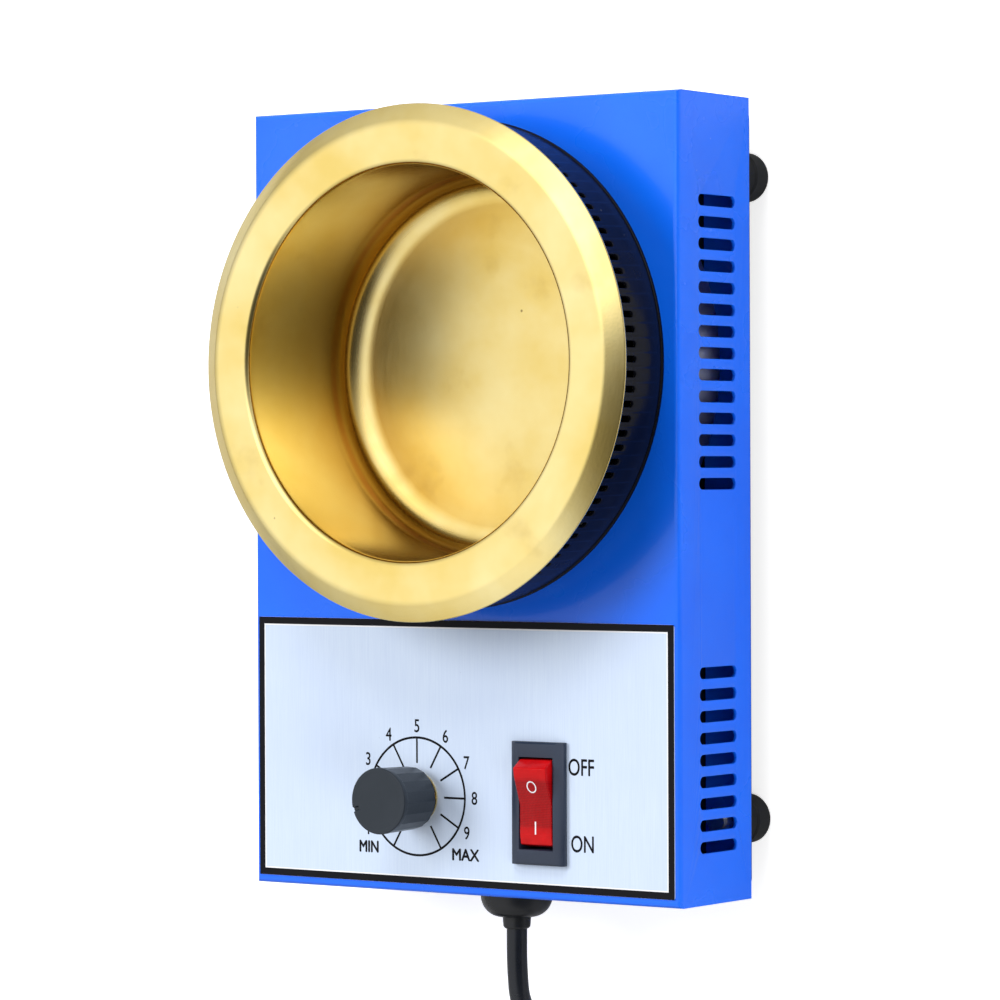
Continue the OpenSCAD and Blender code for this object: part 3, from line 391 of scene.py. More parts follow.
# colours and roughness; heights of the floor, the corner's end and the heat tint with painted shade in
# metres
# the tint colour is a heat tint that also serves as painted shade low inside the cup
gold = {"light": (0.97, 0.82, 0.39), "deep": (0.88, 0.66, 0.20), "tint": (0.34, 0.19, 0.03),
        "rough": 0.17, "rings": 1500.0, "floor": 0.0247, "tintTop": 0.067, "tintFull": 0.032,
        "cornerRing": 0.0322}


def goldFinish(values):
    tree, shader, place = newFinish("goldSteel", (cupX, cupY, 0), Metallic=1.0)
    cloud = useGroup(tree, mottle, place, Scale=28.0)
    grain = useGroup(tree, mottle, place, Scale=1300.0, Detail=2.0)
    rings = useGroup(tree, spun, place, Scale=values["rings"])
    stain = useGroup(tree, mottle, place, Scale=60.0, Detail=5.0, Low=0.60, High=0.85)
    dots = useGroup(tree, specks, place, Scale=170.0, Share=0.05, Size=0.09)
    height = splitAxes(tree, place)["Z"]
    # heat tint and painted shade: brown, darker low in the wall and in the corner by the floor, none on the
    # floor itself
    low = ramped(tree, height, values["tintTop"], values["tintFull"], 0.0, 0.95)
    offFloor = ramped(tree, height, values["floor"], 0.0285)
    colour = blendColour(tree, cloud, values["light"], values["deep"])
    colour = blendColour(tree, maths(tree, "MULTIPLY", low, offFloor, True), colour, values["tint"])
    # painted shade: a dark brown ring where the wall ends and the corner begins
    offRing = maths(tree, "ABSOLUTE", maths(tree, "SUBTRACT", height, values["cornerRing"]))
    cornerRingShade = times(tree, ramped(tree, offRing, 0.0016, 0.0004), ramped(tree, cloud, 0, 1, 0.45, 0.8))
    colour = blendColour(tree, cornerRingShade, colour, (0.32, 0.12, 0.02))
    colour = blendColour(tree, times(tree, stain, 0.3), colour, (0.45, 0.24, 0.06))
    colour = blendColour(tree, times(tree, dots, 0.8), colour, (0.12, 0.06, 0.02))
    rough = ramped(tree, rings, 0, 1, values["rough"] - 0.02, values["rough"] + 0.03)
    rough = plus(tree, rough, times(tree, stain, 0.08))
    # the floor is satin, the wall and the rim are smoother
    rough = plus(tree, rough, ramped(tree, height, 0.0275, values["floor"], 0.0, 0.17))
    relief = plus(tree, times(tree, rings, 0.5), times(tree, grain, 0.5))
    dress(tree, shader, colour, rough, relief, 0.16, 0.00003)


goldFinish(gold)


def enamelFinish():
    tree, shader, place = newFinish("blackEnamel", (cupX, cupY, 0), Coat_Weight=0.06,
                                    Coat_Roughness=0.05, Specular_IOR_Level=0.12)
    cloud = useGroup(tree, mottle, place, Scale=45.0, Detail=5.0)
    dust = useGroup(tree, specks, place, Scale=260.0, Share=0.06, Size=0.08)
    tone = blendColour(tree, cloud, (0.002, 0.0024, 0.005), (0.006, 0.0065, 0.010))
    tone = blendColour(tree, times(tree, dust, 0.5), tone, (0.25, 0.27, 0.3))
    wave = useGroup(tree, mottle, place, Scale=160.0, Detail=2.0, Low=0.2, High=0.8)
    dress(tree, shader, tone, ramped(tree, cloud, 0, 1, 0.2, 0.3), wave, 0.06, 0.0002)


enamelFinish()


# bare or plated metal: brushed lines, blotches and small dark specks
def metalFinish(name, light, dark, rough, stretch=(60, 60, 1), scale=60.0):
    tree, shader, place = newFinish(name, Metallic=1.0)
    lines = useGroup(tree, brushed, place, Stretch=stretch, Scale=scale)
    cloud = useGroup(tree, mottle, place, Scale=90.0, Detail=5.0)
    dots = useGroup(tree, specks, place, Scale=300.0, Share=0.08, Size=0.1)
    colour = blendColour(tree, cloud, light, dark)
    colour = blendColour(tree, times(tree, dots, 0.4), colour, [c * 0.4 for c in dark])
    mixed = plus(tree, times(tree, lines, 0.6), times(tree, cloud, 0.4))
    rough = ramped(tree, mixed, 0, 1, rough - 0.06, rough + 0.08)
    dress(tree, shader, colour, rough, lines, 0.1, 0.00003)


metalFinish("zincSteel", (0.70, 0.71, 0.72), (0.58, 0.59, 0.61), 0.3, (1, 60, 60))
metalFinish("shieldSteel", (0.60, 0.61, 0.62), (0.45, 0.46, 0.48), 0.35)
metalFinish("heaterSteel", (0.45, 0.42, 0.38), (0.28, 0.24, 0.20), 0.45)
metalFinish("brass", (0.86, 0.66, 0.28), (0.70, 0.50, 0.19), 0.25)
metalFinish("sinkAluminium", (0.75, 0.76, 0.78), (0.62, 0.63, 0.66), 0.35)
metalFinish("copperWinding", (0.72, 0.28, 0.12), (0.52, 0.18, 0.07), 0.35, (1, 1, 25), 250.0)
metalFinish("plugBrass", (0.84, 0.76, 0.55), (0.70, 0.60, 0.38), 0.22, (1, 60, 60))


def labelFinish():
    tree, shader, place = newFinish("labelSilver", Metallic=0.12, Specular_IOR_Level=0.6)
    lines = useGroup(tree, brushed, place, Stretch=(70, 1.5, 70), Scale=55.0)
    cloud = useGroup(tree, mottle, place, Scale=30.0, Detail=5.0)
    dust = useGroup(tree, specks, place, Scale=230.0, Share=0.05, Size=0.05)
    tone = blendColour(tree, lines, (0.62, 0.72, 0.87), (0.56, 0.66, 0.83))
    tone = blendColour(tree, times(tree, cloud, 0.35), tone, (0.52, 0.62, 0.83))
    tone = blendColour(tree, times(tree, dust, 0.3), tone, (0.3, 0.35, 0.5))
    dress(tree, shader, tone, ramped(tree, lines, 0, 1, 0.3, 0.42), lines, 0.08, 0.00002)


labelFinish()


# moulded plastic, rubber and sleeving: a fine cast grain, slight fading and a little dust
def plasticFinish(name, light, dark, rough, grainScale=1800.0, grain=0.25, dustShare=0.06,
                  specular=0.5):
    tree, shader, place = newFinish(name, Specular_IOR_Level=specular)
    cloud = useGroup(tree, mottle, place, Scale=70.0, Detail=5.0)
    fine = useGroup(tree, mottle, place, Scale=grainScale, Detail=2.0, Low=0.25, High=0.75)
    dust = useGroup(tree, specks, place, Scale=300.0, Share=dustShare, Size=0.07)
    tone = blendColour(tree, cloud, light, dark)
    tone = blendColour(tree, times(tree, dust, 0.45), tone, [0.3 + 0.5 * c for c in light])
    mixed = plus(tree, times(tree, cloud, 0.6), times(tree, fine, 0.4))
    rough = ramped(tree, mixed, 0, 1, rough - 0.05, rough + 0.08)
    dress(tree, shader, tone, rough, fine, grain, 0.00003)


plasticFinish("footRubber", (0.007, 0.008, 0.010), (0.012, 0.013, 0.015), 0.45, specular=0.25)
plasticFinish("knobPlastic", (0.010, 0.016, 0.024), (0.015, 0.021, 0.030), 0.34, 1500.0, 0.35,
              specular=0.4)
plasticFinish("blackPlastic", (0.016, 0.024, 0.046), (0.020, 0.030, 0.054), 0.34, 2200.0, 0.3,
              specular=0.45)
plasticFinish("whitePlastic", (0.80, 0.80, 0.76), (0.72, 0.71, 0.66), 0.4)
plasticFinish("greenPlastic", (0.03, 0.25, 0.12), (0.02, 0.19, 0.09), 0.4)
plasticFinish("capacitorYellow", (0.72, 0.42, 0.04), (0.62, 0.34, 0.03), 0.35)
plasticFinish("boardLaminate", (0.50, 0.33, 0.12), (0.42, 0.27, 0.09), 0.45, 900.0, 0.3)
plasticFinish("ceramic", (0.82, 0.80, 0.74), (0.74, 0.71, 0.64), 0.5)
plasticFinish("ceramicFibre", (0.80, 0.77, 0.68), (0.66, 0.62, 0.52), 0.9, 700.0, 1.0)
plasticFinish("cordRubber", (0.006, 0.008, 0.012), (0.009, 0.011, 0.016), 0.22, 2500.0, 0.2,
              specular=0.35)
plasticFinish("grommetRubber", (0.005, 0.006, 0.008), (0.009, 0.010, 0.012), 0.28, 1500.0, 0.3,
              specular=0.35)
plasticFinish("plugPlastic", (0.012, 0.012, 0.014), (0.018, 0.018, 0.020), 0.38, 1600.0, 0.4)
plasticFinish("wireSleeve", (0.75, 0.72, 0.62), (0.65, 0.61, 0.50), 0.7, 1200.0, 0.6)
plasticFinish("liveSleeve", (0.20, 0.07, 0.02), (0.16, 0.05, 0.015), 0.35)
plasticFinish("neutralSleeve", (0.03, 0.10, 0.50), (0.02, 0.08, 0.42), 0.35)
plasticFinish("redSleeve", (0.45, 0.01, 0.01), (0.36, 0.008, 0.008), 0.35)
plasticFinish("earthSleeve", (0.50, 0.52, 0.03), (0.10, 0.40, 0.05), 0.35)
plasticFinish("lampGlass", (0.9, 0.35, 0.12), (0.8, 0.28, 0.08), 0.1, 1200.0, 0.05)
plasticFinish("ink", (0.004, 0.004, 0.006), (0.006, 0.006, 0.008), 0.5, 1500.0, 0.15, 0.02, 0.12)
plasticFinish("whiteInk", (0.86, 0.87, 0.90), (0.80, 0.81, 0.85), 0.4, 1500.0, 0.15, 0.02)

# the dark red is the painted shade of the lens's middle
lens = {"bright": (0.58, 0.003, 0.005), "dark": (0.30, 0.001, 0.003), "gridPitch": 0.42}


def lensFinish(values):
    tree, shader, place = newFinish("redLens", (switchX, switchY, 0), Specular_IOR_Level=0.2)
    cloud = useGroup(tree, mottle, place, Scale=260.0, Detail=4.0)
    axes = splitAxes(tree, place)
    # a fine grid of crossed lines on the middle of the face
    waves = []
    for axis in ("X", "Y"):
        cycle = times(tree, axes[axis], 2 * pi / (values["gridPitch"] * mm))
        waves.append(ramped(tree, maths(tree, "COSINE", cycle), 0.35, 0.85))
    offMiddle = maths(tree, "ABSOLUTE", axes["Y"])
    grid = times(tree, maths(tree, "MAXIMUM", *waves), ramped(tree, offMiddle, 0.0062, 0.0056))
    # painted shade: deeper red in the middle, where the dark cavity lies behind the lens, clearer at the
    # ends
    ends = ramped(tree, offMiddle, 0.0055, 0.0085)
    tone = blendColour(tree, cloud, values["bright"], [0.8 * c for c in values["bright"]])
    tone = blendColour(tree, times(tree, maths(tree, "SUBTRACT", 1.0, ends), 0.55), tone, values["dark"])
    tone = blendColour(tree, times(tree, grid, 0.75), tone, (0.16, 0.001, 0.002))
    dress(tree, shader, tone, ramped(tree, cloud, 0, 1, 0.14, 0.24), grid, 0.35, 0.00005)


lensFinish(lens)


# the finish of a material slot: finishes are named as the slots are, in camel case
def finishOf(slot):
    first, *others = slot.split("_")
    return finishes[first + "".join(word.capitalize() for word in others)]


for part in frame["record"]["subparts"]:
    solid = nodes[part["node"]]
    metal = "plug_brass" if part["node"] == "plug_pins" else part["material_slot"]
    solid.data.materials.clear()
    solid.data.materials.append(finishOf(metal))


print("laying the cord")
cord = {"diameter": 5.4, "step": 2.2, "sides": 16, "coil": (-31, -181), "radii": (33.9, 28.5, 23.1),
        "shift": 80, "low": 2.72, "layer": 5.42}
leadKnots = [(5.8, -109.6, 27.5), (5.8, -112.5, 27.49), (5.6, -118, 27.2), (5.2, -123.5, 26.3),
             (4.7, -129, 24.7), (4.3, -134.5, 21), (4, -139.3, 17), (3.8, -143.5, 12.9),
             (3.7, -147.5, 9.1),
             (3.6, -151.8, 6), (3.6, -157, 3.9), (3.6, -163, 2.9), (3.4, -169, 2.75), (3.1, -175, 2.72)]
tailKnots = [(-21, -152.6, 13.9), (-14, -152.8, 13.9), (-7, -153.2, 13.7), (0, -154.2, 13.3),
             (6.5, -156.1, 12.5), (12.5, -159.2, 11.2), (18, -163.4, 9.9), (23, -168, 9),
             (27.5, -172.5, 8.7), (31.5, -176.5, 8.7)]


# the coil's route: whole turns at fixed radii, each moved over to the next in one sector, the lower
# layer inward and the upper layer back outward, then over the top; angles run clockwise from +X
def coilRoute(values):
    def eased(t):
        return t * t * (3 - 2 * t)

    wide, middle, narrow = values["radii"]
    stops = [wide, middle, narrow, narrow, middle, wide, middle]
    shift = values["shift"]
    # six turns less a sector; the step to the upper layer ends at three turns, the last at 2067
    angles = np.arange(0, 360 * 6 - 93, 5.0)
    turns = angles // 360
    within = angles - 360 * turns
    moved = eased(np.clip((within - (360 - shift)) / shift, 0, 1))
    r = np.array([stops[int(k)] + (stops[int(k) + 1] - stops[int(k)]) * m
                  for k, m in zip(turns, moved)])
    z = values["low"] + values["layer"] * eased(np.clip((angles - (1080 - shift)) / shift, 0, 1))
    # the last turn leaves the outer place early and climbs over the turns below it
    last = eased(np.clip((angles - (2067 - 100)) / 100, 0, 1))
    r = np.where(angles > 1800, wide + (middle - wide) * last, r)
    z = z + values["layer"] * np.where(angles > 1800, last, 0)
    a = np.radians(-angles)
    x0, y0 = values["coil"]
    return np.stack([x0 + r * np.cos(a), y0 + r * np.sin(a), z], axis=1)


cordPath = smoothPath(np.vstack([leadKnots, coilRoute(cord), tailKnots]), cord["step"])
cordPoints, cordFaces = carried(cordPath, ringOf(cord["sides"], cord["diameter"] / 2))
cordPiece = makePiece("mains_cord", cordPoints, cordFaces, "cordRubber",
                      stands=("cord_lead", "cord_coil", "cord_tail"), sharp=60)

# the strap round the coil: a thin band bent round the turns, its edges rounded
tie = {"angle": 200, "width": 7, "thick": 0.75}
half = 1.5 * cord["diameter"] + 0.25
loop = rounded([(-half, 5.4), (-half, 0.12), (half, 0.12), (half, 11.1), (-half, 11.1), (-half, 5.4)],
               [2.4, 2.4, 2.4, 2.4], 8)[:-1]
loopMiddle = np.array([0, 5.4])
tieTurn = math.radians(tie["angle"])
across = np.array([math.cos(tieTurn), math.sin(tieTurn)])
alongTie = np.array([-across[1], across[0]])
edgeShape = rounded([(-tie["width"] / 2, 0), (-tie["width"] / 2, 1), (tie["width"] / 2, 1),
                     (tie["width"] / 2, 0)], [0.35, 0.35], 4)
outward = np.gradient(np.vstack([loop[-1:], loop, loop[:1]]), axis=0)[1:-1]
outward = np.stack([outward[:, 1], -outward[:, 0]], axis=1)
outward *= np.sign((outward * (loop - loopMiddle)).sum(axis=1))[:, None]
outward /= np.linalg.norm(outward, axis=1)[:, None]
rows = []
for run, lift in np.vstack([edgeShape, edgeShape[:1]]):
    ring = loop + outward * lift * tie["thick"]
    flatPlace = np.array(cord["coil"]) + across * cord["radii"][1]
    xy = flatPlace + ring[:, :1] * across + run * alongTie
    rows.append(np.column_stack([xy, np.maximum(ring[:, 1], 0.02)]))
tiePiece = makePiece("coil_strap", np.vstack(rows), gridFaces(len(rows), len(loop)), "blackPlastic",
                     stands=("coil_tie",))


plug = {"turn": -45, "start": (31.5, -176.5, 8.7), "relief": 14, "length": 30, "wide": 22, "tall": 17,
        "neck": 3.1, "collar": 4.35, "ribs": 6, "ribDepth": 0.28, "skin": 0.15, "sides": 64}


# sections along the plug: half width, half height and squareness of a superellipse at each station
def plugShape(values):
    rows = []
    start, wide, tall = values["relief"] - 1, values["wide"] / 2, values["tall"] / 2
    collar, skin = values["collar"], values["skin"]
    # the ribbed strain relief, the shoulder, the waisted body and its rounded end
    for t in np.linspace(0, 1, 57):
        groove = values["ribDepth"] * (0.5 - 0.5 * math.cos(2 * pi * values["ribs"] * t)) if t < 0.96 else 0
        thick = values["neck"] + (collar - values["neck"]) * t - groove
        rows.append((skin + t * start, thick, thick, 2))
    for t in np.linspace(0, 1, 29)[1:]:
        ease = math.sin(t * pi / 2) ** 0.8
        rows.append((start + 12 * t, collar + (wide - skin - collar) * ease,
                     collar + (tall - skin - collar) * ease, 2 + 2.2 * ease))
    for t in np.linspace(0, 1, 13)[1:]:
        waist = 0.7 * math.sin(pi * t)
        rows.append((start + 12 + (values["length"] - 13) * t, wide - skin - waist,
                     tall - skin - waist * 0.4, 4.2))
    for t in np.linspace(0, 1, 9)[1:]:
        inward = skin + 1 - math.cos(t * pi / 2)
        rows.append((start + values["length"] - 1.1 + 0.95 * math.sin(t * pi / 2), wide - inward,
                     tall - inward, 4.2))
    s, a, b, n = np.array(rows).T[..., None]
    angle = anglesRound(values["sides"])
    c, d = np.cos(angle)[None], np.sin(angle)[None]
    left = a * np.sign(c) * np.abs(c) ** (2 / n)
    lift = b * np.sign(d) * np.abs(d) ** (2 / n)
    turnBy = math.radians(values["turn"])
    x0, y0, z0 = values["start"]
    x = x0 + s * math.cos(turnBy) - left * math.sin(turnBy)
    y = y0 + s * math.sin(turnBy) + left * math.cos(turnBy)
    pts = np.stack([x, y, z0 + lift], axis=-1)
    grid = (len(rows), values["sides"])
    return pts.reshape(-1, 3), [gridFaces(*grid), endCaps(*grid)]


plugPoints, plugFaces = plugShape(plug)
plugPiece = makePiece("plug_shell", plugPoints, plugFaces, "plugPlastic",
                      stands=("plug_body",), sharp=40)


print("turning the round pieces")
grommet = {"dome": 18.7, "depth": 6.5, "neck": 7.2, "neckLength": 3.2}


# a dome against the case's front face and a short tapered neck, turned round the cord's axis
def grommetShape(values):
    r, d, n = values["dome"] / 2, values["depth"], values["neck"] / 2
    a = np.linspace(0, pi / 2, 15)
    bulge = np.stack([n + 0.5 + (r - n - 0.5) * np.cos(a), 0.9 + (d - 0.9) * np.sin(a)], axis=1)
    tip = d + values["neckLength"]
    neck = rounded([(n + 0.1, d), (n - 0.1, tip - 0.6), (2.9, tip), (2.72, tip - 0.4), (2.72, -3.4),
                    (7, -3.4), (7, -1.05), (5.5, -1.05), (5.5, 0.02), (r - 0.4, 0.02)],
                   [0.5, 0.2, 0.1, 0, 0.3, 0.3, 0, 0])
    profile = np.vstack([bulge, neck, [[r, 0.35]]])
    pts, faces = revolve(np.vstack([profile, profile[:1]]), segments=72)
    return np.stack([5.8 + pts[:, 0], -101.5 - pts[:, 2], 27.5 + pts[:, 1]], axis=1), faces


grommetPoints, grommetFaces = grommetShape(grommet)
makePiece("outlet_grommet", grommetPoints, grommetFaces, "grommetRubber",
          stands=("cord_grommet",), sharp=50)


cup = {"floor": 24.5, "rim": 68.5, "mouth": 50, "foot": 49.5, "corner": 7.5, "lip": 1.8, "wall": 1.2,
       "crease": 60.3, "edge": 65.5, "drop": 3.2, "segments": 288}


# half section of the cup, from the floor's middle up the wall, over the lip and the rim and back
# down outside: straight runs and arcs, with a small step where the corner meets the wall
def cupProfile(v):
    f, z, t, lipR, mouth = v["floor"], v["rim"], v["wall"], v["lip"], v["mouth"]
    cornerR, cornerX, cornerZ = v["corner"], v["foot"] - v["corner"], f + v["corner"]
    a = np.linspace(-90, 0, 13) * pi / 180
    flatFloor = np.stack([np.linspace(0, cornerX, 14)[:-1], np.full(13, f)], axis=1)
    corner = np.stack([cornerX + cornerR * np.cos(a), f + cornerR * (1 + np.sin(a))], axis=1)
    up = np.linspace(0, 1, 25)[1:-1]
    wallR = v["foot"] + 0.3 + (mouth - v["foot"] - 0.3) * up
    wallZ = cornerZ + (z - lipR - f - cornerR) * up
    b = np.linspace(180, 90, 12) * pi / 180
    lip = np.stack([mouth + lipR * (1 + np.cos(b)), z - lipR * (1 - np.sin(b))], axis=1)
    rim = rounded([(mouth + lipR + 0.3, z), (v["crease"], z), (v["edge"], z - v["drop"]),
                   (v["edge"] - 0.25, z - v["drop"] - 0.95), (v["crease"] - 0.3, z - 1.45),
                   (mouth + lipR + 1, z - t)], [4.5, 0.4, 0.3, 1.0], 10)
    flange = np.stack([np.linspace(mouth + lipR, v["crease"] - 2.6, 10)[1:], np.full(9, z)], axis=1)
    innerLip = np.stack([mouth + lipR + (lipR - t) * np.cos(b[::-1]),
                         z - lipR + (lipR - t) * np.sin(b[::-1])], axis=1)
    outer = np.stack([cornerX + (cornerR + t) * np.cos(a[::-1]),
                      cornerZ + (cornerR + t) * np.sin(a[::-1])], axis=1)
    wall = np.stack([wallR, wallZ], axis=1)
    return np.vstack([flatFloor, corner, wall, lip, flange, rim[1:], innerLip, outer, [[0, f - t]]])


cupPoints, cupFaces = revolve(cupProfile(cup), (cupX, cupY), cup["segments"])
makePiece("cup", cupPoints, cupFaces, "goldSteel", stands=("crucible",), sharp=40)

guard = {"radius": 62.5, "sheet": 1.0, "slots": 106, "slotWidth": 1.7, "slotLength": 7, "slotLow": 12,
         "foot": 44.0, "top": boxOf("guard_ring")[1][2], "inner": 55.65}


# the slotted wall: each slot has a cell, a rectangle of angle and height whose outline shrinks to
# the slot's round-ended outline; the cells stand side by side round the ring
def slottedWall(v):
    cell = 2 * pi / v["slots"]
    low, high = v["foot"], v["top"]
    middle, reachUp = v["foot"] + v["slotLow"] + v["slotLength"] / 2, v["slotLength"] / 2
    w = v["slotWidth"] / 2
    ends = np.linspace(0, pi, 7)
    top = np.stack([w * np.cos(ends), reachUp - w + w * np.sin(ends)], axis=1)
    inner = np.vstack([top, -top])
    half = cell * v["radius"] / 2
    outerTop = np.stack([np.linspace(half, -half, 7), np.full(7, high - middle)], axis=1)
    outerLow = np.stack([np.linspace(-half, half, 7), np.full(7, low - middle)], axis=1)
    outer = np.vstack([outerTop, outerLow])
    steps = np.array([0, 0.5, 0.86, 1.0])[:, None, None]
    flat = outer[None] * (1 - steps) + inner[None] * steps
    one = gridFaces(len(steps), len(inner))
    arc = flat[..., 0] / v["radius"]
    count = flat.shape[0] * flat.shape[1]
    turns = np.arange(v["slots"]) * cell
    angle = arc[None] + turns[:, None, None]
    z = np.broadcast_to(flat[..., 1] + middle, angle.shape)
    r = v["radius"] - 0.02
    x, y = cupX + r * np.cos(angle), cupY + r * np.sin(angle)
    pts = np.stack([x, y, z], axis=-1).reshape(-1, 3)
    faces = (one[None] + (np.arange(v["slots"]) * count)[:, None, None]).reshape(-1, 4)
    return pts, faces


wallPoints, wallFaces = slottedWall(guard)
ringPiece = makePiece("guard_wall", wallPoints, wallFaces, "blackEnamel",
                      stands=("guard_ring",), closed=False, sharp=40)
thick = ringPiece.modifiers.new("sheet", "SOLIDIFY")
thick.thickness = guard["sheet"] * mm
thick.offset = -1
soft = ringPiece.modifiers.new("edges", "BEVEL")
soft.width = 0.14 * mm
soft.segments = 2
soft.limit_method = "ANGLE"
soft.angle_limit = math.radians(50)
soft.use_clamp_overlap = False
footProfile = rounded([(guard["inner"], 45), (62.0, 45.0), (62.72, 44.75), (62.72, 44.02),
                       (guard["inner"], 44.02), (guard["inner"], 45)], [0.2, 0.3, 0.1, 0.1])
footPoints, footFaces = revolve(footProfile, (cupX, cupY), 192)
makePiece("guard_foot", footPoints, footFaces, "blackEnamel", sharp=40)

print("dressing the case")


# a merged copy of a CAD solid's mesh: flat areas chosen by the first test are joined up, edges chosen
# by the second are softened, and flat faces keep their own shading beside the rounded bends
def softenedCopy(name, node, finish, width, joinUp, soften):
    mesh = nodes[node].data.copy()
    mesh.name = name
    work = bmesh.new()
    work.from_mesh(mesh)
    bmesh.ops.remove_doubles(work, verts=work.verts, dist=weldWithin)
    verts = [v for v in work.verts if joinUp(*(v.co / mm))]
    chosen = set(verts)
    edges = [e for e in work.edges if e.verts[0] in chosen and e.verts[1] in chosen]
    bmesh.ops.dissolve_limit(work, angle_limit=math.radians(0.6), verts=verts, edges=edges)
    weight = work.edges.layers.float.new("bevel_weight_edge")
    hard = work.edges.layers.bool.new("hard")
    for edge in work.edges:
        if len(edge.link_faces) != 2:
            continue
        angle = edge.calc_face_angle(0)
        flats = [max(abs(c) for c in f.normal) > 0.99995 for f in edge.link_faces]
        if angle > math.radians(32) and all(soften(*(v.co / mm)) for v in edge.verts):
            edge[weight] = 1
        elif angle > math.radians(40) or (flats[0] != flats[1] and angle > math.radians(2)):
            edge[hard] = True
    work.to_mesh(mesh)
    work.free()
    piece = placePiece(name, mesh, finish, nodes[node]["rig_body"], (node,), 175)
    marks = np.zeros(len(mesh.edges), dtype=bool)
    mesh.attributes["hard"].data.foreach_get("value", marks)
    sharpEdges = (mesh.attributes.get("sharp_edge")
                  or mesh.attributes.new("sharp_edge", "BOOLEAN", "EDGE"))
    sharpEdges.data.foreach_set("value", marks)
    mesh.attributes.remove(mesh.attributes["hard"])
    bevel = piece.modifiers.new("edges", "BEVEL")
    bevel.width = width * mm
    bevel.segments = 2
    bevel.limit_method = "WEIGHT"
    bevel.use_clamp_overlap = False
    bevel.harden_normals = True
    return piece


softenedCopy("case_cover", "top_shell", "bluePaint", 0.16,
             lambda x, y, z: abs(x) > 65.9 and z < 42.6,
             lambda x, y, z: abs(x) > 65.9 and 17 < z < 36 and abs(y) < 98)
softenedCopy("bezel", "switch_housing", "blackPlastic", 0.16,
             lambda x, y, z: z > 43.9, lambda x, y, z: z > 44.2)


foot = {"radius": 6.5, "height": 10, "neck": 4}
for node, x, y in (("foot_front_left", -60, -82), ("foot_front_right", 60, -82),
                   ("foot_rear_left", -60, 82), ("foot_rear_right", 60, 82)):
    r, h = foot["radius"], foot["height"]
    outline = rounded([(2.1, 4.0), (2.1, h - 0.02), (r - 0.55, h - 0.02),
                       (r - 0.5, h - foot["neck"] + 0.5), (r, h - foot["neck"]), (r - 0.25, 0.02),
                       (4.2, 0.02), (4.2, 4.0), (2.1, 4.0)],
                      [0, 0.25, 0.4, 0.5, 0.9, 0.3, 0.3], 6)
    pts, faces = revolve(outline, (x, y), 64)
    makePiece(node + "_rubber", pts, faces, "footRubber", stands=(node,), sharp=50)


knob = {"foot": boxOf("knob")[0][2], "top": boxOf("knob")[1][2], "facets": 18, "perFacet": 8,
        "radius": 8.1, "spread": 1.04, "cap": 8.5, "capHeight": 1.6, "notch": 197}


# the faceted body: at each height a polygon, a little wider towards the top, then the round cap
# with a flat face that carries the pointer's notch
def knobShape(v):
    n = v["facets"] * v["perFacet"]
    turnBy = math.radians(v["notch"])
    a = anglesRound(n)
    local = (a % (2 * pi / v["facets"])) - pi / v["facets"]
    polygon = math.cos(pi / v["facets"]) / np.cos(local)
    rows = []
    bodyTop = v["top"] - v["capHeight"]
    bodyHeight = bodyTop - v["foot"]
    for k, z in [(0.55, 0.0), (0.97, 0.0), (1.0, 0.25), (1.0, 2), (1.0, 6), (1.0, 10),
                 (1.0, bodyHeight - 0.02)]:
        grow = 1 + (v["spread"] - 1) * z / bodyHeight
        rows.append((k * v["radius"] * grow * polygon, np.full(n, v["foot"] + z)))
    cap = v["cap"]
    for r, z in rounded([(cap - 0.6, bodyTop), (cap, bodyTop), (cap, v["top"]), (cap - 0.7, v["top"])],
                        [0.18, 0.32], 6):
        rows.append((np.full(n, r), np.full(n, z)))
    for r in (7.6, 7.3, 7.0, 6.7, 6.4, 5, 3, 1.2, 0):
        rows.append((np.full(n, r), np.full(n, v["top"] - (0.05 if 1 < r < 7.4 else 0.0))))
    r = np.stack([row[0] for row in rows])
    z = np.stack([row[1] for row in rows])
    sideways = np.abs(np.sin(a)) * r
    inNotch = (sideways < 0.42) & (np.cos(a) > 0) & (r > 6.5) & (z > v["top"] - 0.7)
    z = z - 0.55 * inNotch
    x, y = dialX + r * np.cos(a + turnBy), dialY + r * np.sin(a + turnBy)
    return np.stack([x, y, z], axis=-1).reshape(-1, 3), [gridFaces(len(rows), n)]


knobPoints, knobFaces = knobShape(knob)
makePiece("knob_shell", knobPoints, knobFaces, "knobPlastic", "dial", ("knob",), 14)

rocker = {"width": 9.9, "sweep": 11.45, "low": 2.6, "ridge": 7.4, "end": 9.9, "under": -2.4,
          "tilt": 10, "pivot": 44.0, "edge": 0.35, "printLift": 0.025}


# the rocker's outline drawn level: a shallow valley between two ridges, sides and a flat underside
def rockerOutline(v):
    rise = math.tan(math.radians(v["tilt"]))
    high = v["low"] + v["ridge"] * rise
    valley = (0, v["low"])
    half = [(v["ridge"], high), (v["end"], high), (v["sweep"] - 0.1, 0.6),
            (v["sweep"] - 0.3, v["under"]), (3.0, v["under"])]
    corners = [valley] + half + [(-a, b) for a, b in half[::-1]] + [valley]
    radii = [1.2, 0.5, 0.4, 0.3, 0, 0, 0.3, 0.4, 0.5, 1.2]
    return rounded(corners, radii, 5)[:-1]


# points of the level rocker turned about its pivot
def tilted(points, v):
    a = math.radians(v["tilt"])
    y, z = points[..., 1], points[..., 2]
    return np.stack([switchX + points[..., 0], switchY + y * math.cos(a) - z * math.sin(a),
                     v["pivot"] + y * math.sin(a) + z * math.cos(a)], axis=-1)


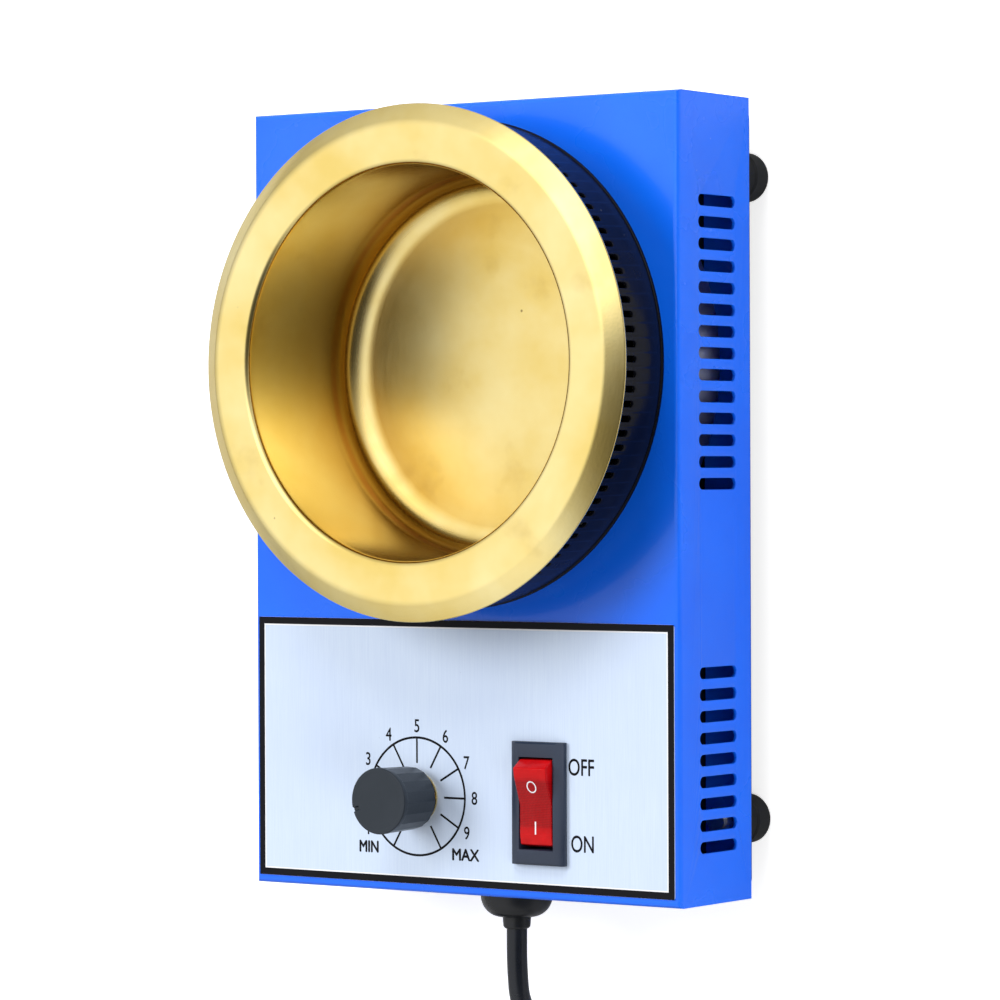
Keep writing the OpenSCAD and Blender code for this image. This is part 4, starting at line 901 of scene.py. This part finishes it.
# the outline carried across the width; it shrinks a little at both sides, so the edges are round
def acrossWidth(outline, width, edge, steps=5):
    middle = outline.mean(axis=0)
    ahead = np.roll(outline, -1, axis=0) - np.roll(outline, 1, axis=0)
    normal = np.stack([ahead[:, 1], -ahead[:, 0]], axis=1)
    normal /= np.linalg.norm(normal, axis=1)[:, None]
    normal *= np.sign((normal * (outline - middle)).sum(axis=1)).mean()
    bend = np.linspace(0, pi / 2, steps)
    shifts = [(-width / 2 + edge * (1 - math.cos(b)), edge * (1 - math.sin(b))) for b in bend]
    shifts += [(-x, s) for x, s in shifts[::-1]]
    rows = [np.column_stack([np.full(len(outline), x), outline - normal * s]) for x, s in shifts]
    grid = (len(rows), len(outline))
    return np.stack(rows), [gridFaces(*grid), endCaps(*grid)]


outline = rockerOutline(rocker)
rockerRows, rockerFaces = acrossWidth(outline, rocker["width"], rocker["edge"])
makePiece("rocker_lens", tilted(rockerRows, rocker).reshape(-1, 3), rockerFaces, "redLens", "rocker",
          ("rocker",), 30)


# a flat ring or bar on a sloping half of the rocker's face, just above it
def onFace(points, v, sign):
    rise = math.tan(math.radians(v["tilt"]))
    x, y = points[:, 0], points[:, 1]
    return tilted(np.stack([x, y, v["low"] + sign * y * rise + v["printLift"]], axis=1), v)


markA = anglesRound(48)
markRing = np.vstack([np.stack([1.45 * np.cos(markA), 5.0 + 1.6 * np.sin(markA)], axis=1),
                      np.stack([1.12 * np.cos(markA), 5.0 + 1.27 * np.sin(markA)], axis=1)])
makePiece("rocker_mark_off", onFace(markRing, rocker, 1), gridFaces(2, 48)[:, ::-1], "whiteInk",
          "rocker", closed=False)
markBar = np.array([(-0.2, -4.0), (0.2, -4.0), (0.2, -7.2), (-0.2, -7.2)])
makePiece("rocker_mark_on", onFace(markBar, rocker, -1), np.array([[0, 3, 2, 1]]), "whiteInk", "rocker",
          closed=False)


print("printing the label")
label = {"low": boxOf("panel_label")[0], "high": boxOf("panel_label")[1], "border": 1.8, "line": 0.35,
         "circle": 15.2, "stroke": 0.6}
inkZ = label["high"][2] + 0.02


# a flat frame between two rectangles with the given insets
def flatFrame(inset, width, z):
    (x0, y0), (x1, y1) = label["low"][:2] + inset, label["high"][:2] - inset
    outer = np.array([(x0, y0), (x1, y0), (x1, y1), (x0, y1)])
    inner = outer + np.array([(width, width), (-width, width), (-width, -width), (width, -width)])
    pts = np.vstack([outer, inner])
    return np.column_stack([pts, np.full(8, z)]), gridFaces(2, 4)


pts, faces = flatFrame(0.02, label["border"], inkZ)
makePiece("label_border", pts, faces, "ink", closed=False)
pts, faces = flatFrame(label["border"] + 0.02, label["line"], inkZ)
makePiece("label_line", pts, faces, "whiteInk", closed=False)

circleA = anglesRound(120)
scaleY = dialY + 0.2
circle = [np.stack([dialX + r * np.cos(circleA), scaleY + r * np.sin(circleA), np.full(120, inkZ)],
                   axis=1)
          for r in (label["circle"] + label["stroke"] / 2, label["circle"] - label["stroke"] / 2)]
printPoints, printFaces = [np.vstack(circle)], [gridFaces(2, 120)]
tickFrom, tickTo = 8.6, 15.1
for a in np.radians(np.arange(-60, 241, 30)):
    along = np.array([math.cos(a), math.sin(a)])
    aside = np.array([-along[1], along[0]]) * 0.27
    ends = [along * tickFrom - aside, along * tickTo - aside,
            along * tickTo + aside, along * tickFrom + aside]
    tick = np.column_stack([np.array(ends) + (dialX, scaleY), np.full(4, inkZ + 0.003)])
    printFaces.append(np.array([[0, 1, 2, 3]]) + sum(len(p) for p in printPoints))
    printPoints.append(tick)
makePiece("dial_scale", np.vstack(printPoints), printFaces, "ink", closed=False)


# lettering as flat mesh: set in the built-in typeface, scaled to a cap height and centred
def lettering(name, words, bold=0.0):
    layers = []
    for text, x, y, capHeight, narrow in words:
        curve = bpy.data.curves.new(name + text, "FONT")
        curve.body = text
        curve.resolution_u = 6
        helper = bpy.data.objects.new(name + text, curve)
        bpy.context.scene.collection.objects.link(helper)
        bpy.context.view_layer.update()
        depsgraph = bpy.context.evaluated_depsgraph_get()
        mesh = bpy.data.meshes.new_from_object(helper.evaluated_get(depsgraph))
        co = np.empty(len(mesh.vertices) * 3, dtype=np.float32)
        mesh.vertices.foreach_get("co", co)
        co = co.reshape(-1, 3)
        low, high = co.min(axis=0), co.max(axis=0)
        size = capHeight / (high[1] - low[1])
        co = (co - (low + high) / 2) * (size * narrow, size, 0) + (x, y, inkZ + 0.004)
        # heavier strokes: copies moved a little to every side, each on its own level
        for i, (dx, dy) in enumerate([(0, 0), (1, 0), (-1, 0), (0, 1), (0, -1)] if bold else [(0, 0)]):
            copy = mesh.copy()
            moved = co + (dx * bold, dy * bold, i * 0.001)
            copy.vertices.foreach_set("co", (moved * mm).astype(np.float32).ravel())
            layers.append(copy)
        bpy.data.objects.remove(helper)
    work = bmesh.new()
    for mesh in layers:
        work.from_mesh(mesh)
    for face in work.faces:
        if face.normal.z < 0:
            face.normal_flip()
    joinedMesh = bpy.data.meshes.new(name)
    work.to_mesh(joinedMesh)
    work.free()
    return placePiece(name, joinedMesh, "ink")


numbers = [(str(i + 1), dialX + 18.2 * math.cos(a), dialY + 0.4 + 18.0 * math.sin(a), 3.3, 0.82)
           for i, a in enumerate(np.radians([210, 180, 150, 120, 90, 60, 30, 0, -30]))]
lettering("scale_numbers", numbers, 0.05)
lettering("scale_ends", [("MIN", dialX - 15.6, dialY - 13.4, 2.9, 0.85),
                         ("MAX", dialX + 15.4, dialY - 14.2, 2.9, 0.95)], 0.13)
lettering("switch_words", [("OFF", 37.6, -67.4, 4.2, 0.76), ("ON", 37.9, -86.7, 4.2, 0.76)], 0.06)

print("setting the studio")
studio = {"floorWhite": 0.9, "key": 20.0, "fill": 10.0, "rear": 11.0, "world": 0.42, "floorGlow": 0.6,
          "dark": (0.76, -0.33, 0.55), "darkEdge": (0.62, 0.97), "darkShade": 0.08, "horizon": 0.5,
          "overhead": 1.12, "bright": (0.22, 0.62, 0.75), "brightEdge": (0.80, 0.97),
          "brightShade": 0.75, "floorMirrored": 0.55}


def studioFloor(values):
    size = 6.0
    mesh = bpy.data.meshes.new("floor")
    mesh.from_pydata([(-size, -size, 0), (size, -size, 0), (size, size, 0), (-size, size, 0)], [],
                     [(0, 1, 2, 3)])
    floor = bpy.data.objects.new("floor", mesh)
    bpy.context.scene.collection.objects.link(floor)
    material = bpy.data.materials.new("floorPaper")
    material.use_nodes = True
    tree = material.node_tree
    shader = tree.nodes["Principled BSDF"]
    shader.inputs["Roughness"].default_value = 0.9
    paper = useGroup(tree, mottle, addNode(tree, "ShaderNodeTexCoord").outputs["Object"], Scale=3.0)
    tone = blendColour(tree, paper, [values["floorWhite"]] * 3, [values["floorWhite"] * 0.985] * 3)
    rays = addNode(tree, "ShaderNodeLightPath")
    dimmer = [values["floorWhite"] * values["floorMirrored"]] * 3
    tone = blendColour(tree, rays.outputs["Is Glossy Ray"], tone, dimmer)
    tree.links.new(tone, shader.inputs["Base Color"])
    seen = maths(tree, "MAXIMUM", rays.outputs["Is Camera Ray"], rays.outputs["Is Transmission Ray"])
    shader.inputs["Emission Color"].default_value = (1, 1, 1, 1)
    tree.links.new(times(tree, seen, values["floorGlow"]), shader.inputs["Emission Strength"])
    mesh.materials.append(material)


studioFloor(studio)
world = bpy.data.worlds.new("studio")
bpy.context.scene.world = world
world.use_nodes = True
worldTree = world.node_tree
background = worldTree.nodes["Background"]
background.inputs["Color"].default_value = (1, 1, 1, 1)
rays = addNode(worldTree, "ShaderNodeLightPath")
direct = maths(worldTree, "MAXIMUM", rays.outputs["Is Camera Ray"], rays.outputs["Is Transmission Ray"])
heading = addNode(worldTree, "ShaderNodeTexCoord").outputs["Generated"]


# a soft-edged lobe of the room round one heading, from a low to a high value
def lobe(name, low, high):
    way = Vector(studio[name]).normalized()[:]
    facing = vectorMaths(worldTree, "DOT_PRODUCT", heading, way).outputs["Value"]
    return ramped(worldTree, facing, *studio[name + "Edge"], low, high, "SMOOTHSTEP")


# reflections see a room that is dim at the horizon, dark to one side and bright behind
upward = splitAxes(worldTree, heading)["Z"]
horizon = ramped(worldTree, upward, 0.0, 0.75, studio["horizon"], studio["overhead"])
room = plus(worldTree, times(worldTree, lobe("dark", 1.0, studio["darkShade"]), horizon),
            lobe("bright", 0.0, studio["brightShade"]))
mirrored = ramped(worldTree, rays.outputs["Is Glossy Ray"], 0, 1, studio["world"], room)
worldTree.links.new(ramped(worldTree, direct, 0, 1, mirrored, 1.0), background.inputs["Strength"])


def softLamp(name, place, target, size, power):
    data = bpy.data.lights.new(name, "AREA")
    data.shape = "DISK"
    data.size = size
    data.energy = power
    lamp = bpy.data.objects.new(name, data)
    lamp.visible_glossy = False
    way = Vector(target) - Vector(place)
    lamp.matrix_world = Matrix.Translation(place) @ way.to_track_quat("-Z", "Y").to_matrix().to_4x4()
    bpy.context.scene.collection.objects.link(lamp)


softLamp("key", (-0.9, 0.5, 1.3), (0, 0, 0.03), 0.9, studio["key"])
softLamp("rear", (0.1, 1.3, 0.9), (0, 0.02, 0.03), 0.7, studio["rear"])
softLamp("fill", (1.3, -0.6, 0.6), (0, 0, 0.03), 0.9, studio["fill"])

view = bpy.context.scene.view_settings
view.view_transform = "Standard"

print("finished")
